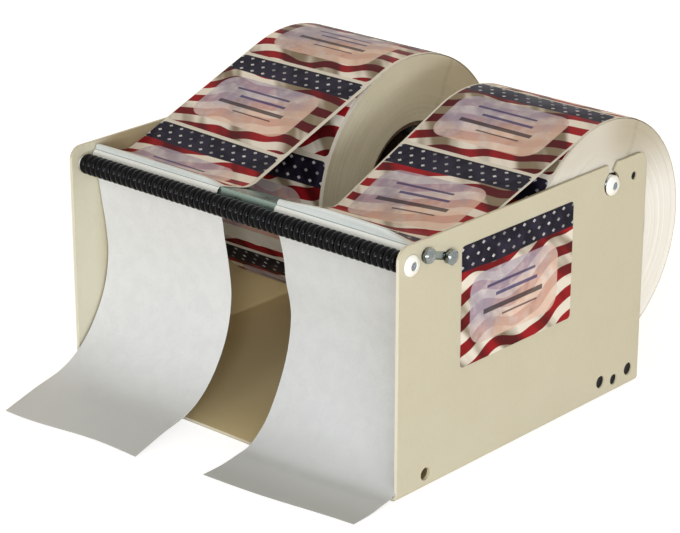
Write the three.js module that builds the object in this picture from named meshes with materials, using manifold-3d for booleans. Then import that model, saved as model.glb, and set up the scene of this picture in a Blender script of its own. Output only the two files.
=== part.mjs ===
// Desk-top label dispenser for two rolls of die-cut labels side by side.
// Millimetres, +Z up, +X to the right of the person who pulls the labels, +Y towards the back.
// The origin is the centre of the base's underside.

import * as THREE from 'three';
import { mergeVertices } from 'three/addons/utils/BufferGeometryUtils.js';
import Module from 'manifold-3d';

const wasm = await Module();
wasm.setup();

// Frame: one folded channel of sheet steel
const FRAME_WIDTH = 260;
const FRAME_DEPTH = 228;
const FRAME_HEIGHT = 150;
const SHEET = 1.9;
const BEND_RADIUS = 1.6;
const TOP_CORNER_RADIUS = 8;

// Small holes through both side plates: inset from the front or rear edge, rise above the base
// or drop below the top edge, and radius
const FRONT_HOLE = { inset: 24.5, rise: 9.1, radius: 3.9 };
const REAR_LOWER_HOLES = {
  first: { inset: 38.5, rise: 11.4, radius: 4 },
  second: { inset: 24.9, rise: 8.8, radius: 3.4 },
  third: { inset: 10.1, rise: 11.1, radius: 4 },
};
const REAR_UPPER_HOLE = { inset: 12.8, drop: 12.8, radius: 2.6 };

// Keyhole slot that the spindle drops into from the top edge
const SEAT_INSET = 35.1;
const SEAT_DROP = 12.1;
const SEAT_RADIUS = 7.4;
const NECK_WIDTH = 6.7;
const MOUTH_DEPTH = 4;
const MOUTH_FRONT_FLARE = 0.5;
const MOUTH_REAR_FLARE = 3.3;

// Ribbed roller at the front and its shaft
const ROLLER_SETBACK = 10;
const ROLLER_DROP = 11.6;
const ROLLER_RADIUS = 6.35;
const ROLLER_SIDE_GAP = 2.1;
const RIB_COUNT = 58;
const RIB_DEPTH = 1.5;
const RIB_FLAT_SHARE = 0.4;
const ROLLER_SHAFT_RADIUS = 2.4;

// Nylon bushings of the roller shaft
const BUSHING_HUB_RADIUS = 4.6;
const BUSHING_DOME_RADIUS = 6.2;
const BUSHING_DOME_HEIGHT = 2.6;
const BUSHING_INSIDE_LENGTH = 1;

// Peel bar: a flat bar that slopes down towards the back
const BAR_WIDTH = 28.6;
const BAR_THICKNESS = 6.35;
const BAR_SLOPE = THREE.MathUtils.degToRad(17.5);
const BAR_EDGE_BREAK = 0.6;
const NOSE_GAP = 3.15;
const NOSE_DROP = 4.7;

// Two bolts into each end of the peel bar
const BOLT_RADIUS = 2.1;
const BOLT_EDGE_DISTANCE = 4.2;
const BOLT_GRIP = 12;
const BOLT_HEAD_FLATS = 8.6;
const BOLT_HEAD_HEIGHT = 3.6;
const BOLT_CHAMFER = THREE.MathUtils.degToRad(30);
const BOLT_CROWN_SHARE = 0.95;
const WASHER_RADIUS = 4.1;
const WASHER_THICKNESS = 1;
const WASHER_SPLIT = 0.8;

// Spindle rod, turned down at its ends, and the nylon bearings on those ends
const ROD_RADIUS = 3.175;
const JOURNAL_RADIUS = 2.4;
const BEARING_HUB_WIDTH = 6.3;
const BEARING_HUB_HEIGHT = 12.6;
const BEARING_DOME_RADIUS = 6.5;
const BEARING_DOME_HEIGHT = 3;
const SHAFT_END_INSET = 0.4;

// Label stock
const WEB_WIDTH = 104.8;
const WEB_THICKNESS = 0.4;
const LINER_THICKNESS = 0.3;
const CORE_BORE_RADIUS = 38.1;
const CORE_WALL = 3.3;
const LEFT_ROLL_FLOOR_GAP = 16.2;
const RIGHT_ROLL_FLOOR_GAP = 26.2;
const ROLL_LEAN = 1.9;
const VALLEY_RUN = 26;
const VALLEY_RADIUS = 22;

// Waste liner that hangs in front: how far each tail reaches in front of the frame, and its run
// from the throat down to the tip, as shares of [the reach back to the throat, the throat's height]
const LEFT_TAIL_REACH = 59;
const RIGHT_TAIL_REACH = 42;
const LEFT_TAIL_SHARES = [
  [1.05, 0.9], [1.066, 0.819], [1.104, 0.681], [1.121, 0.536], [1.1, 0.439], [1.03, 0.337],
  [0.916, 0.237], [0.765, 0.15], [0.579, 0.088], [0.381, 0.055], [0.171, 0.028], [0, 0],
];
const RIGHT_TAIL_SHARES = [
  [1.073, 0.899], [1.12, 0.791], [1.162, 0.69], [1.206, 0.59], [1.218, 0.504], [1.177, 0.396],
  [1.1, 0.297], [0.973, 0.187], [0.833, 0.101], [0.632, 0.035], [0.436, 0.012], [0.24, 0.002],
  [0, 0],
];

// Sample label stuck on the right side plate, between the bar's rear bolt and the spindle's bearing
const DECAL_BOLT_GAP = 11.7;
const DECAL_BEARING_GAP = 30.9;
const DECAL_HEIGHT = 73;
const DECAL_THICKNESS = 0.2;
const DECAL_DROP = 13;

// Fits
const CLEARANCE = 0.3;
const RUNNING_CLEARANCE = 0.06;
const CONTACT_GAP = 0.05;
const CUT_OVERRUN = 5;

// Facets
const BEND_SEGMENTS = 4;
const ARC_SEGMENTS = 10;
const ROUND_SEGMENTS = 24;
const ROLLER_SEGMENTS = 12;
const ROLL_SEGMENTS = 64;
const DOME_STEPS = 4;
const VALLEY_STEPS = 6;
const TAIL_STEPS = 36;
const HEX_SIDES = 6;
const SPLIT_RING_SEGMENTS = 24;

// Places that follow from the sizes above
const halfWidth = FRAME_WIDTH / 2;
const innerHalfWidth = halfWidth - SHEET;
const frontEdge = -FRAME_DEPTH / 2;
const roller = { y: frontEdge + ROLLER_SETBACK, z: FRAME_HEIGHT - ROLLER_DROP };
const seat = { y: -frontEdge - SEAT_INSET, z: FRAME_HEIGHT - SEAT_DROP };
const nose = { y: roller.y + ROLLER_RADIUS + NOSE_GAP, z: FRAME_HEIGHT - NOSE_DROP };
const spindle = { y: seat.y, z: seat.z - SEAT_RADIUS + BEARING_HUB_HEIGHT / 2 + RUNNING_CLEARANCE };
const coreRadius = CORE_BORE_RADIUS + CORE_WALL;
const webOuterEdge = innerHalfWidth - 2 * CLEARANCE;
const webInnerEdge = webOuterEdge - WEB_WIDTH;

const barAlong = new THREE.Vector2(Math.cos(BAR_SLOPE), -Math.sin(BAR_SLOPE));
const barUp = new THREE.Vector2(Math.sin(BAR_SLOPE), Math.cos(BAR_SLOPE));
const nosePoint = new THREE.Vector2(nose.y, nose.z);

// A faceted bore's flats stand closer to its axis than its corners do
function flatsTo(radius, segments) {
  return radius / Math.cos(Math.PI / segments);
}

// The rolls hang on the rod, drawn forward a little by the webs
const coreFlats = CORE_BORE_RADIUS * Math.cos(Math.PI / ROLL_SEGMENTS);
const rodToCore = coreFlats - ROD_RADIUS - RUNNING_CLEARANCE;
const coreCentre = {
  y: spindle.y - ROLL_LEAN,
  z: spindle.z - Math.sqrt(rodToCore ** 2 - ROLL_LEAN ** 2),
};
const leftRollRadius = coreCentre.z - SHEET - LEFT_ROLL_FLOOR_GAP;
const rightRollRadius = coreCentre.z - SHEET - RIGHT_ROLL_FLOOR_GAP;

function material(color, roughness, metalness) {
  return new THREE.MeshStandardMaterial({ color, roughness, metalness });
}

const creamPaint = material('#d6cfb2', 0.5, 0);
const zincPlate = material('#9aa59c', 0.35, 0.9);
const brightSteel = material('#b4b8bb', 0.3, 1);
const blackRubber = material('#141416', 0.6, 0);
const whiteNylon = material('#eceae2', 0.45, 0);
const cardboard = material('#b49a72', 0.9, 0);
const woundPaper = material('#d2c9a8', 0.85, 0);
const linerPaper = material('#e4e5e3', 0.6, 0);
const labelFace = material('#8f4a47', 0.45, 0);

function piece(name, geometry, finish) {
  const mesh = new THREE.Mesh(geometry, finish);
  mesh.name = name;
  return mesh;
}

// Booleans
function toSolid(geometry) {
  const bare = geometry.clone();
  bare.deleteAttribute('normal');
  bare.deleteAttribute('uv');
  const merged = mergeVertices(bare);
  return new wasm.Manifold(
    new wasm.Mesh({
      numProp: 3,
      vertProperties: new Float32Array(merged.attributes.position.array),
      triVerts: new Uint32Array(merged.index.array),
    }),
  );
}

function toGeometry(solid) {
  const mesh = solid.getMesh();
  const geometry = new THREE.BufferGeometry();
  geometry.setAttribute('position', new THREE.BufferAttribute(new Float32Array(mesh.vertProperties), 3));
  geometry.setIndex(new THREE.BufferAttribute(new Uint32Array(mesh.triVerts), 1));
  geometry.computeVertexNormals();
  return geometry;
}

function join(first, ...others) {
  return toGeometry(others.reduce((solid, other) => solid.add(toSolid(other)), toSolid(first)));
}

function cut(body, ...tools) {
  return toGeometry(tools.reduce((solid, tool) => solid.subtract(toSolid(tool)), toSolid(body)));
}

function common(first, second) {
  return toGeometry(toSolid(first).intersect(toSolid(second)));
}

// A side outline, drawn as (y, z), pulled out along X and centred on x
function prismAlongX(outline, length, x = 0) {
  const geometry = new THREE.ExtrudeGeometry(outline, {
    depth: length,
    bevelEnabled: false,
    curveSegments: ARC_SEGMENTS,
  });
  geometry.translate(0, 0, x - length / 2);
  const axes = new THREE.Matrix4().makeBasis(
    new THREE.Vector3(0, 1, 0),
    new THREE.Vector3(0, 0, 1),
    new THREE.Vector3(1, 0, 0),
  );
  return geometry.applyMatrix4(axes);
}

// A profile of [radius, x] points turned about the X axis
function turnedAboutX(profile, segments) {
  const points = profile.map(([radius, x]) => new THREE.Vector2(radius, x));
  return new THREE.LatheGeometry(points, segments).rotateZ(-Math.PI / 2);
}

function rodAboutX(radius, from, to, segments = ROUND_SEGMENTS) {
  return turnedAboutX([[0, from], [radius, from], [radius, to], [0, to]], segments);
}

function tubeAboutX(boreRadius, radius, from, to, segments) {
  const profile = [
    [boreRadius, from], [radius, from], [radius, to], [boreRadius, to], [boreRadius, from],
  ];
  return turnedAboutX(profile, segments);
}

// Quarter-round points of a domed end, from its rim at x = 0 to its crown
function domeProfile(radius, height) {
  const steps = Array.from({ length: DOME_STEPS + 1 }, (_, i) => (i / DOME_STEPS) * (Math.PI / 2));
  return steps.map((turn) => [radius * Math.cos(turn), height * Math.sin(turn)]);
}

function circleHole(y, z, radius) {
  return new THREE.Path().absarc(y, z, radius, 0, 2 * Math.PI, true);
}

// Folded frame
function channelSection() {
  const outerRadius = BEND_RADIUS + SHEET;
  const section = new THREE.Shape();
  section.moveTo(-halfWidth, FRAME_HEIGHT);
  section.lineTo(-halfWidth, outerRadius);
  section.absarc(-halfWidth + outerRadius, outerRadius, outerRadius, Math.PI, 1.5 * Math.PI, false);
  section.lineTo(halfWidth - outerRadius, 0);
  section.absarc(halfWidth - outerRadius, outerRadius, outerRadius, 1.5 * Math.PI, 2 * Math.PI, false);
  section.lineTo(halfWidth, FRAME_HEIGHT);
  section.lineTo(innerHalfWidth, FRAME_HEIGHT);
  section.lineTo(innerHalfWidth, outerRadius);
  section.absarc(innerHalfWidth - BEND_RADIUS, outerRadius, BEND_RADIUS, 0, -Math.PI / 2, true);
  section.lineTo(-innerHalfWidth + BEND_RADIUS, SHEET);
  section.absarc(-innerHalfWidth + BEND_RADIUS, outerRadius, BEND_RADIUS, -Math.PI / 2, -Math.PI, true);
  section.lineTo(-innerHalfWidth, FRAME_HEIGHT);
  section.closePath();
  return section;
}

function keyholeSlot(outline) {
  const halfNeck = NECK_WIDTH / 2;
  const shoulder = Math.acos(halfNeck / SEAT_RADIUS);
  const neckTop = FRAME_HEIGHT - MOUTH_DEPTH;
  outline.lineTo(seat.y + halfNeck + MOUTH_REAR_FLARE, FRAME_HEIGHT);
  outline.lineTo(seat.y + halfNeck, neckTop);
  outline.absarc(seat.y, seat.z, SEAT_RADIUS, shoulder, Math.PI - shoulder, true);
  outline.lineTo(seat.y - halfNeck, neckTop);
  outline.lineTo(seat.y - halfNeck - MOUTH_FRONT_FLARE, FRAME_HEIGHT);
}

function boltPlace(index) {
  const run = index === 0 ? BOLT_EDGE_DISTANCE : BAR_WIDTH - BOLT_EDGE_DISTANCE;
  return nosePoint.clone().addScaledVector(barAlong, run).addScaledVector(barUp, -BAR_THICKNESS / 2);
}

function boltSlot() {
  const radius = BOLT_RADIUS + CLEARANCE;
  const [front, rear] = [boltPlace(0), boltPlace(1)];
  const slot = new THREE.Path();
  slot.absarc(front.x, front.y, radius, Math.PI / 2 - BAR_SLOPE, 1.5 * Math.PI - BAR_SLOPE, false);
  slot.absarc(rear.x, rear.y, radius, -Math.PI / 2 - BAR_SLOPE, Math.PI / 2 - BAR_SLOPE, false);
  slot.closePath();
  return slot;
}

function sideOutline() {
  const rearEdge = -frontEdge;
  const cornerZ = FRAME_HEIGHT - TOP_CORNER_RADIUS;
  const outline = new THREE.Shape();
  outline.moveTo(frontEdge, 0);
  outline.lineTo(rearEdge, 0);
  outline.absarc(rearEdge - TOP_CORNER_RADIUS, cornerZ, TOP_CORNER_RADIUS, 0, Math.PI / 2, false);
  keyholeSlot(outline);
  outline.absarc(frontEdge + TOP_CORNER_RADIUS, cornerZ, TOP_CORNER_RADIUS, Math.PI / 2, Math.PI, false);
  outline.closePath();
  outline.holes.push(circleHole(roller.y, roller.z, BUSHING_HUB_RADIUS + CLEARANCE / 2));
  outline.holes.push(boltSlot());
  outline.holes.push(circleHole(frontEdge + FRONT_HOLE.inset, FRONT_HOLE.rise, FRONT_HOLE.radius));
  for (const hole of Object.values(REAR_LOWER_HOLES)) {
    outline.holes.push(circleHole(rearEdge - hole.inset, hole.rise, hole.radius));
  }
  const upper = REAR_UPPER_HOLE;
  outline.holes.push(circleHole(rearEdge - upper.inset, FRAME_HEIGHT - upper.drop, upper.radius));
  return outline;
}

function frameChannel() {
  const folded = new THREE.ExtrudeGeometry(channelSection(), {
    depth: FRAME_DEPTH,
    bevelEnabled: false,
    curveSegments: BEND_SEGMENTS,
  });
  folded.translate(0, 0, -FRAME_DEPTH / 2);
  folded.rotateX(Math.PI / 2);
  const sides = prismAlongX(sideOutline(), FRAME_WIDTH + 2 * CUT_OVERRUN);
  return piece('frame_channel', common(folded, sides), creamPaint);
}

// Peel bar with its bolts and lock washers, in a group that carries the slope
function peelBar() {
  const half = innerHalfWidth - CLEARANCE;
  const edge = BAR_EDGE_BREAK;
  const outline = new THREE.Shape([
    new THREE.Vector2(0, -edge),
    new THREE.Vector2(0, edge - BAR_THICKNESS),
    new THREE.Vector2(edge, -BAR_THICKNESS),
    new THREE.Vector2(BAR_WIDTH - edge, -BAR_THICKNESS),
    new THREE.Vector2(BAR_WIDTH, edge - BAR_THICKNESS),
    new THREE.Vector2(BAR_WIDTH, -edge),
    new THREE.Vector2(BAR_WIDTH - edge, 0),
    new THREE.Vector2(edge, 0),
  ]);
  const threads = [-1, 1].flatMap((side) =>
    [BOLT_EDGE_DISTANCE, BAR_WIDTH - BOLT_EDGE_DISTANCE].map((run) => {
      const reach = BOLT_GRIP + CLEARANCE;
      const from = side * (half + CUT_OVERRUN);
      const to = side * (half - reach);
      const drill = rodAboutX(BOLT_RADIUS + CLEARANCE, Math.min(from, to), Math.max(from, to));
      return drill.translate(0, run, -BAR_THICKNESS / 2);
    }),
  );
  return piece('peel_bar', cut(prismAlongX(outline, 2 * half), ...threads), zincPlate);
}

// Drawn with the underside of the head at x = 0 and the shank towards -X
function boltGeometry() {
  const flats = BOLT_HEAD_FLATS / 2;
  const corner = flatsTo(flats, HEX_SIDES);
  const hex = new THREE.CylinderGeometry(corner, corner, BOLT_HEAD_HEIGHT, HEX_SIDES);
  hex.translate(0, BOLT_HEAD_HEIGHT / 2, 0).rotateZ(-Math.PI / 2);
  const crown = BOLT_CROWN_SHARE * flats;
  const rim = corner + CLEARANCE;
  const cone = turnedAboutX([
    [0, 0], [rim, 0], [rim, BOLT_HEAD_HEIGHT - (rim - crown) * Math.tan(BOLT_CHAMFER)],
    [crown, BOLT_HEAD_HEIGHT], [0, BOLT_HEAD_HEIGHT],
  ], ROUND_SEGMENTS);
  const shankLength = WASHER_THICKNESS + 2 * CONTACT_GAP + SHEET + CLEARANCE + BOLT_GRIP;
  const shank = rodAboutX(BOLT_RADIUS, -shankLength, BOLT_HEAD_HEIGHT / 2);
  return join(common(hex, cone), shank);
}

function lockWasherGeometry() {
  const bore = BOLT_RADIUS + CLEARANCE;
  const ring = tubeAboutX(bore, WASHER_RADIUS, 0, WASHER_THICKNESS, SPLIT_RING_SEGMENTS);
  const split = new THREE.BoxGeometry(2 * CUT_OVERRUN, WASHER_SPLIT, WASHER_RADIUS + CUT_OVERRUN);
  split.translate(0, 0, (WASHER_RADIUS + CUT_OVERRUN) / 2);
  return cut(ring, split);
}

function boltAssembly(side, index) {
  const sideName = side < 0 ? 'left' : 'right';
  const endName = index === 0 ? 'front' : 'rear';
  const bolt = piece(`${sideName}_${endName}_bar_bolt`, boltGeometry(), brightSteel);
  const washer = piece(`${sideName}_${endName}_lock_washer`, lockWasherGeometry(), brightSteel);
  washer.position.x = halfWidth + CONTACT_GAP;
  bolt.position.x = halfWidth + WASHER_THICKNESS + 2 * CONTACT_GAP;
  const pair = new THREE.Group();
  pair.add(bolt, washer);
  pair.rotation.z = side < 0 ? Math.PI : 0;
  pair.position.y = index === 0 ? BOLT_EDGE_DISTANCE : BAR_WIDTH - BOLT_EDGE_DISTANCE;
  pair.position.z = -BAR_THICKNESS / 2;
  return pair;
}

function peelBarAssembly() {
  const group = new THREE.Group();
  group.add(peelBar());
  for (const side of [-1, 1]) {
    group.add(boltAssembly(side, 0), boltAssembly(side, 1));
  }
  group.position.set(0, nose.y, nose.z);
  group.rotation.x = -BAR_SLOPE;
  return group;
}

// Front roller
function ribbedSleeve() {
  const half = innerHalfWidth - ROLLER_SIDE_GAP;
  const pitch = (2 * half) / RIB_COUNT;
  const shoulder = (pitch * (1 - RIB_FLAT_SHARE)) / 2;
  const bore = flatsTo(ROLLER_SHAFT_RADIUS + RUNNING_CLEARANCE, ROLLER_SEGMENTS);
  const valley = ROLLER_RADIUS - RIB_DEPTH;
  const profile = [[bore, -half]];
  for (let rib = 0; rib < RIB_COUNT; rib += 1) {
    const start = -half + rib * pitch;
    profile.push([valley, start]);
    profile.push([ROLLER_RADIUS, start + shoulder]);
    profile.push([ROLLER_RADIUS, start + pitch - shoulder]);
  }
  profile.push([valley, half], [bore, half], [bore, -half]);
  return piece('ribbed_roller', turnedAboutX(profile, ROLLER_SEGMENTS), blackRubber);
}

function rollerShaft() {
  const half = halfWidth + BUSHING_DOME_HEIGHT - SHAFT_END_INSET;
  return piece('roller_shaft', rodAboutX(ROLLER_SHAFT_RADIUS, -half, half), brightSteel);
}

// Drawn with the plate's outer face at x = 0 and the dome towards +X
function rollerBushing(side) {
  const bore = flatsTo(ROLLER_SHAFT_RADIUS + RUNNING_CLEARANCE, ROUND_SEGMENTS);
  const hubEnd = -SHEET - BUSHING_INSIDE_LENGTH;
  const crown = domeProfile(BUSHING_DOME_RADIUS, BUSHING_DOME_HEIGHT).filter(([radius]) => radius > bore);
  const crownTop = crown[crown.length - 1][1];
  const profile = [
    [bore, hubEnd], [BUSHING_HUB_RADIUS, hubEnd], [BUSHING_HUB_RADIUS, CONTACT_GAP],
    ...crown.map(([radius, x]) => [radius, x + CONTACT_GAP]),
    [bore, crownTop + CONTACT_GAP], [bore, hubEnd],
  ];
  const name = side < 0 ? 'left_roller_bushing' : 'right_roller_bushing';
  const bushing = piece(name, turnedAboutX(profile, ROUND_SEGMENTS), whiteNylon);
  bushing.position.x = side * halfWidth;
  bushing.rotation.z = side < 0 ? Math.PI : 0;
  return bushing;
}

function rollerAssembly() {
  const group = new THREE.Group();
  group.add(rollerShaft(), ribbedSleeve(), rollerBushing(-1), rollerBushing(1));
  group.position.set(0, roller.y, roller.z);
  return group;
}

// Spindle: the hub of each bearing has flats, so it slides down the neck of the keyhole slot
function spindleBearing(side) {
  const bore = flatsTo(JOURNAL_RADIUS + RUNNING_CLEARANCE, ROUND_SEGMENTS);
  const endRadius = BEARING_HUB_WIDTH / 2;
  const straight = BEARING_HUB_HEIGHT / 2 - endRadius;
  const hubOutline = new THREE.Shape();
  hubOutline.absarc(0, straight, endRadius, 0, Math.PI, false);
  hubOutline.absarc(0, -straight, endRadius, Math.PI, 2 * Math.PI, false);
  hubOutline.closePath();
  const hubLength = SHEET + CONTACT_GAP + BEARING_DOME_HEIGHT / 2;
  const hub = prismAlongX(hubOutline, hubLength, hubLength / 2 - SHEET);
  const crown = domeProfile(BEARING_DOME_RADIUS, BEARING_DOME_HEIGHT);
  const dome = turnedAboutX([[0, 0], ...crown], ROUND_SEGMENTS).translate(CONTACT_GAP, 0, 0);
  const drill = rodAboutX(bore, -SHEET - CUT_OVERRUN, BEARING_DOME_HEIGHT + CUT_OVERRUN);
  const name = side < 0 ? 'left_spindle_bearing' : 'right_spindle_bearing';
  const bearing = piece(name, cut(join(hub, dome), drill), whiteNylon);
  bearing.position.x = side * halfWidth;
  bearing.rotation.z = side < 0 ? Math.PI : 0;
  return bearing;
}

function spindleRod() {
  const half = halfWidth + BEARING_DOME_HEIGHT - SHAFT_END_INSET;
  const shoulder = innerHalfWidth - CLEARANCE;
  const profile = [
    [0, -half], [JOURNAL_RADIUS, -half], [JOURNAL_RADIUS, -shoulder], [ROD_RADIUS, -shoulder],
    [ROD_RADIUS, shoulder], [JOURNAL_RADIUS, shoulder], [JOURNAL_RADIUS, half], [0, half],
  ];
  return piece('spindle_rod', turnedAboutX(profile, ROUND_SEGMENTS), brightSteel);
}

function spindleAssembly() {
  const group = new THREE.Group();
  group.add(spindleRod(), spindleBearing(-1), spindleBearing(1));
  group.position.set(0, spindle.y, spindle.z);
  return group;
}

// Label rolls, each hanging on the rod by the top of its core
function rollAssembly(side, radius) {
  const sideName = side < 0 ? 'left' : 'right';
  const half = WEB_WIDTH / 2;
  const core = tubeAboutX(CORE_BORE_RADIUS, coreRadius, -half, half, ROLL_SEGMENTS);
  const woundBore = flatsTo(coreRadius + CONTACT_GAP, ROLL_SEGMENTS);
  const wound = tubeAboutX(woundBore, radius, -half, half, ROLL_SEGMENTS);
  const group = new THREE.Group();
  group.add(piece(`${sideName}_core`, core, cardboard));
  group.add(piece(`${sideName}_label_roll`, wound, woundPaper));
  group.position.set((side * (webInnerEdge + webOuterEdge)) / 2, coreCentre.y, coreCentre.z);
  return group;
}

// A thin strip of even thickness along a path of (y, z) points
function stripOutline(path, thickness) {
  const offset = (amount) => path.map((point, i) => {
    const before = path[Math.max(i - 1, 0)];
    const after = path[Math.min(i + 1, path.length - 1)];
    const along = after.clone().sub(before).normalize();
    return new THREE.Vector2(point.x - along.y * amount, point.y + along.x * amount);
  });
  const upper = offset(thickness / 2);
  const lower = offset(-thickness / 2).reverse();
  return new THREE.Shape([...upper, ...lower]);
}

function strip(name, path, thickness, side, finish) {
  const x = (side * (webInnerEdge + webOuterEdge)) / 2;
  return piece(name, prismAlongX(stripOutline(path, thickness), WEB_WIDTH, x), finish);
}

// The label web runs from the nose along the bar, bends up in a valley and meets its roll at a tangent
function webPath(rollRadius) {
  const lift = CLEARANCE + WEB_THICKNESS / 2;
  const start = nosePoint.clone().addScaledVector(barUp, lift);
  const valley = start.clone().addScaledVector(barAlong, VALLEY_RUN);
  const toCentre = new THREE.Vector2(coreCentre.y, coreCentre.z).sub(valley);
  const reach = rollRadius + lift;
  const climb = Math.atan2(toCentre.y, toCentre.x) + Math.asin(reach / toCentre.length());
  const climbing = new THREE.Vector2(Math.cos(climb), Math.sin(climb));
  const end = valley.clone().addScaledVector(climbing, Math.sqrt(toCentre.lengthSq() - reach ** 2));
  const bend = climb + BAR_SLOPE;
  const bendStart = valley.clone().addScaledVector(barAlong, -VALLEY_RADIUS * Math.tan(bend / 2));
  const bendCentre = bendStart.addScaledVector(barUp, VALLEY_RADIUS);
  const path = [start];
  for (let step = 0; step <= VALLEY_STEPS; step += 1) {
    const angle = (bend * step) / VALLEY_STEPS - BAR_SLOPE - Math.PI / 2;
    const spoke = new THREE.Vector2(Math.cos(angle), Math.sin(angle));
    path.push(bendCentre.clone().addScaledVector(spoke, VALLEY_RADIUS));
  }
  path.push(end);
  return path.reverse();
}

// The waste liner turns down over the nose, passes between bar and roller, and hangs in front
function tailPath(reach, shares) {
  const stand = CLEARANCE + LINER_THICKNESS / 2;
  const top = nosePoint.clone().addScaledVector(barAlong, -stand);
  const throat = top.clone().addScaledVector(barUp, -BAR_THICKNESS);
  const tip = new THREE.Vector2(frontEdge - reach, stand);
  const span = throat.clone().sub(tip);
  const places = shares.map(([back, up]) => [tip.x + back * span.x, tip.y + up * span.y]);
  const middle = top.clone().add(throat).divideScalar(2);
  const points = [top, middle, throat, ...places.map(([y, z]) => new THREE.Vector2(y, z))];
  return new THREE.SplineCurve(points).getPoints(TAIL_STEPS);
}

function labelStock() {
  const group = new THREE.Group();
  group.add(rollAssembly(-1, leftRollRadius), rollAssembly(1, rightRollRadius));
  group.add(strip('left_label_web', webPath(leftRollRadius), WEB_THICKNESS, -1, labelFace));
  group.add(strip('right_label_web', webPath(rightRollRadius), WEB_THICKNESS, 1, labelFace));
  const leftTail = tailPath(LEFT_TAIL_REACH, LEFT_TAIL_SHARES);
  const rightTail = tailPath(RIGHT_TAIL_REACH, RIGHT_TAIL_SHARES);
  group.add(strip('left_liner_tail', leftTail, LINER_THICKNESS, -1, linerPaper));
  group.add(strip('right_liner_tail', rightTail, LINER_THICKNESS, 1, linerPaper));
  return group;
}

function sideDecal() {
  const front = boltPlace(1).x + DECAL_BOLT_GAP;
  const rear = seat.y - BEARING_DOME_RADIUS - DECAL_BEARING_GAP;
  const sheet = new THREE.BoxGeometry(DECAL_THICKNESS, rear - front, DECAL_HEIGHT);
  const decal = piece('side_sample_label', sheet, labelFace);
  decal.position.x = halfWidth + CONTACT_GAP + DECAL_THICKNESS / 2;
  decal.position.y = (front + rear) / 2;
  decal.position.z = FRAME_HEIGHT - DECAL_DROP - DECAL_HEIGHT / 2;
  return decal;
}

const dispenser = new THREE.Group();
dispenser.add(frameChannel(), peelBarAssembly(), rollerAssembly());
dispenser.add(spindleAssembly(), labelStock(), sideDecal());

export default dispenser;
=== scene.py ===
"""Desk label dispenser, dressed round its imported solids.

Lengths are written in millimetres and angles in degrees. They become metres when a mesh is made.
"""
import math

import bmesh
import bpy
import numpy as np
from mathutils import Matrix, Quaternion, Vector


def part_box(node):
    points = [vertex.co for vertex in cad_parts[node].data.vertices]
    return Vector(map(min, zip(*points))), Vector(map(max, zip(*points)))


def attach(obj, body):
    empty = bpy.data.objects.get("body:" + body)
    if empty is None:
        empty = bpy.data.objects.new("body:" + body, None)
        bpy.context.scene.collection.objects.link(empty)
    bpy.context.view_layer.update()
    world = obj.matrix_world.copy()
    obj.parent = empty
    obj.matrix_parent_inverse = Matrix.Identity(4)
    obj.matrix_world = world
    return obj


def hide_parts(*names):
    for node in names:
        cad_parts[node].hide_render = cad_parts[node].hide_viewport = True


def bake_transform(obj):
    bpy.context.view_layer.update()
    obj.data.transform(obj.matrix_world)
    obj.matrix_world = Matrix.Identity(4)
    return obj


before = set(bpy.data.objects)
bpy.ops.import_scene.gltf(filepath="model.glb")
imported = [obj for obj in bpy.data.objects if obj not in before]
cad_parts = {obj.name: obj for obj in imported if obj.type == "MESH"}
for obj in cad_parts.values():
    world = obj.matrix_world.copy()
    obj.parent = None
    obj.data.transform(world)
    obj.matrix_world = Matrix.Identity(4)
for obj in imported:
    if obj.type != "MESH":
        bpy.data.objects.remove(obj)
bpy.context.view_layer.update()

MM = 0.001
SIDES = {"left": -1, "right": 1}

# Places and sizes that the solids give, and what the scene adds to them
PLATE_OUTER = 130.0
PLATE_INNER = 128.1
FRONT_EDGE = -114.0
NOSE = (-94.5, 145.3)
BAR_SLOPE = 17.5
BAR_THICKNESS = 6.35
BAR_WIDTH = 28.6
BOLT_EDGE = 4.2
BAR_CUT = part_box("peel_bar")[1].x / MM
BOLT_FLATS = 8.3
BOLT_TALL = 3.7
BOLT_SHANK = 2.1
BOLT_REACH = 13.0
WASHER_THICKNESS = 1.0
WASHER_INNER = 2.4
WASHER_OUTER = 4.1
WASHER_SPREAD = 0.14
JOURNAL_RADIUS = 2.4
JOURNAL_BORE = 2.47
BUTTON_RADIUS = 6.2
SPINDLE_RADIUS = 3.175
ROLL_CENTRE = (77.0, 102.09)
ROLL_RADIUS = {"left": 84.0, "right": 74.0}
CORE_BORE = 38.1
CORE_OUTER = 41.4
CORE_SET_BACK = 1.6
WEB_WIDTH = 104.8
WEB_MIDDLE = 75.1
WEB_LIFT = 0.5
VALLEY_RUN = {"left": (26.0, 26.0), "right": (50.6, 31.0)}
VALLEY_RADIUS = 20.0
HUMP_END = 18.0
ROLLER_RADIUS = 6.35
ROLLER_HALF = 126.9
RIB_COUNT = 58
RIB_DEPTH = 2.0

# Sizes of the label stock
LABEL_LENGTH = 76.2
LABEL_WIDTH = 101.6
LABEL_PITCH = 79.3
LABEL_CORNER = 3.2
CORNER_STEPS = [0.15, 0.45, 0.9, 1.5, 2.3]
SAMPLE_CORNER = 2.6
SAMPLE_CORNER_STEPS = [0.15, 0.45, 0.9, 1.5, 2.2]
SAMPLE_THICKNESS = 0.12
LABEL_THICKNESS = 0.14
LINER_THICKNESS = 0.16
FIRST_GAP = {"left": 59.0, "right": 31.4}
LABEL_SKEW = {"left": -0.035, "right": -0.045}
LABEL_SHIFT = {"left": -1.1, "right": 0.0}
SKEW_AT = {"left": 59.0, "right": 112.0}
RULES = [
    # the plain bars on the panel: height, half length, half thickness, ink, shift to the side
    (44.6, 22.0, 0.9, (0.05, 0.04, 0.13), -6.0),
    (37.8, 19.0, 1.1, (0.05, 0.04, 0.16), -1.0),
    (29.6, 27.0, 1.6, (0.03, 0.02, 0.03), -4.0),
    (23.4, 16.0, 0.6, (0.08, 0.04, 0.05), 2.0),
]

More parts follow.
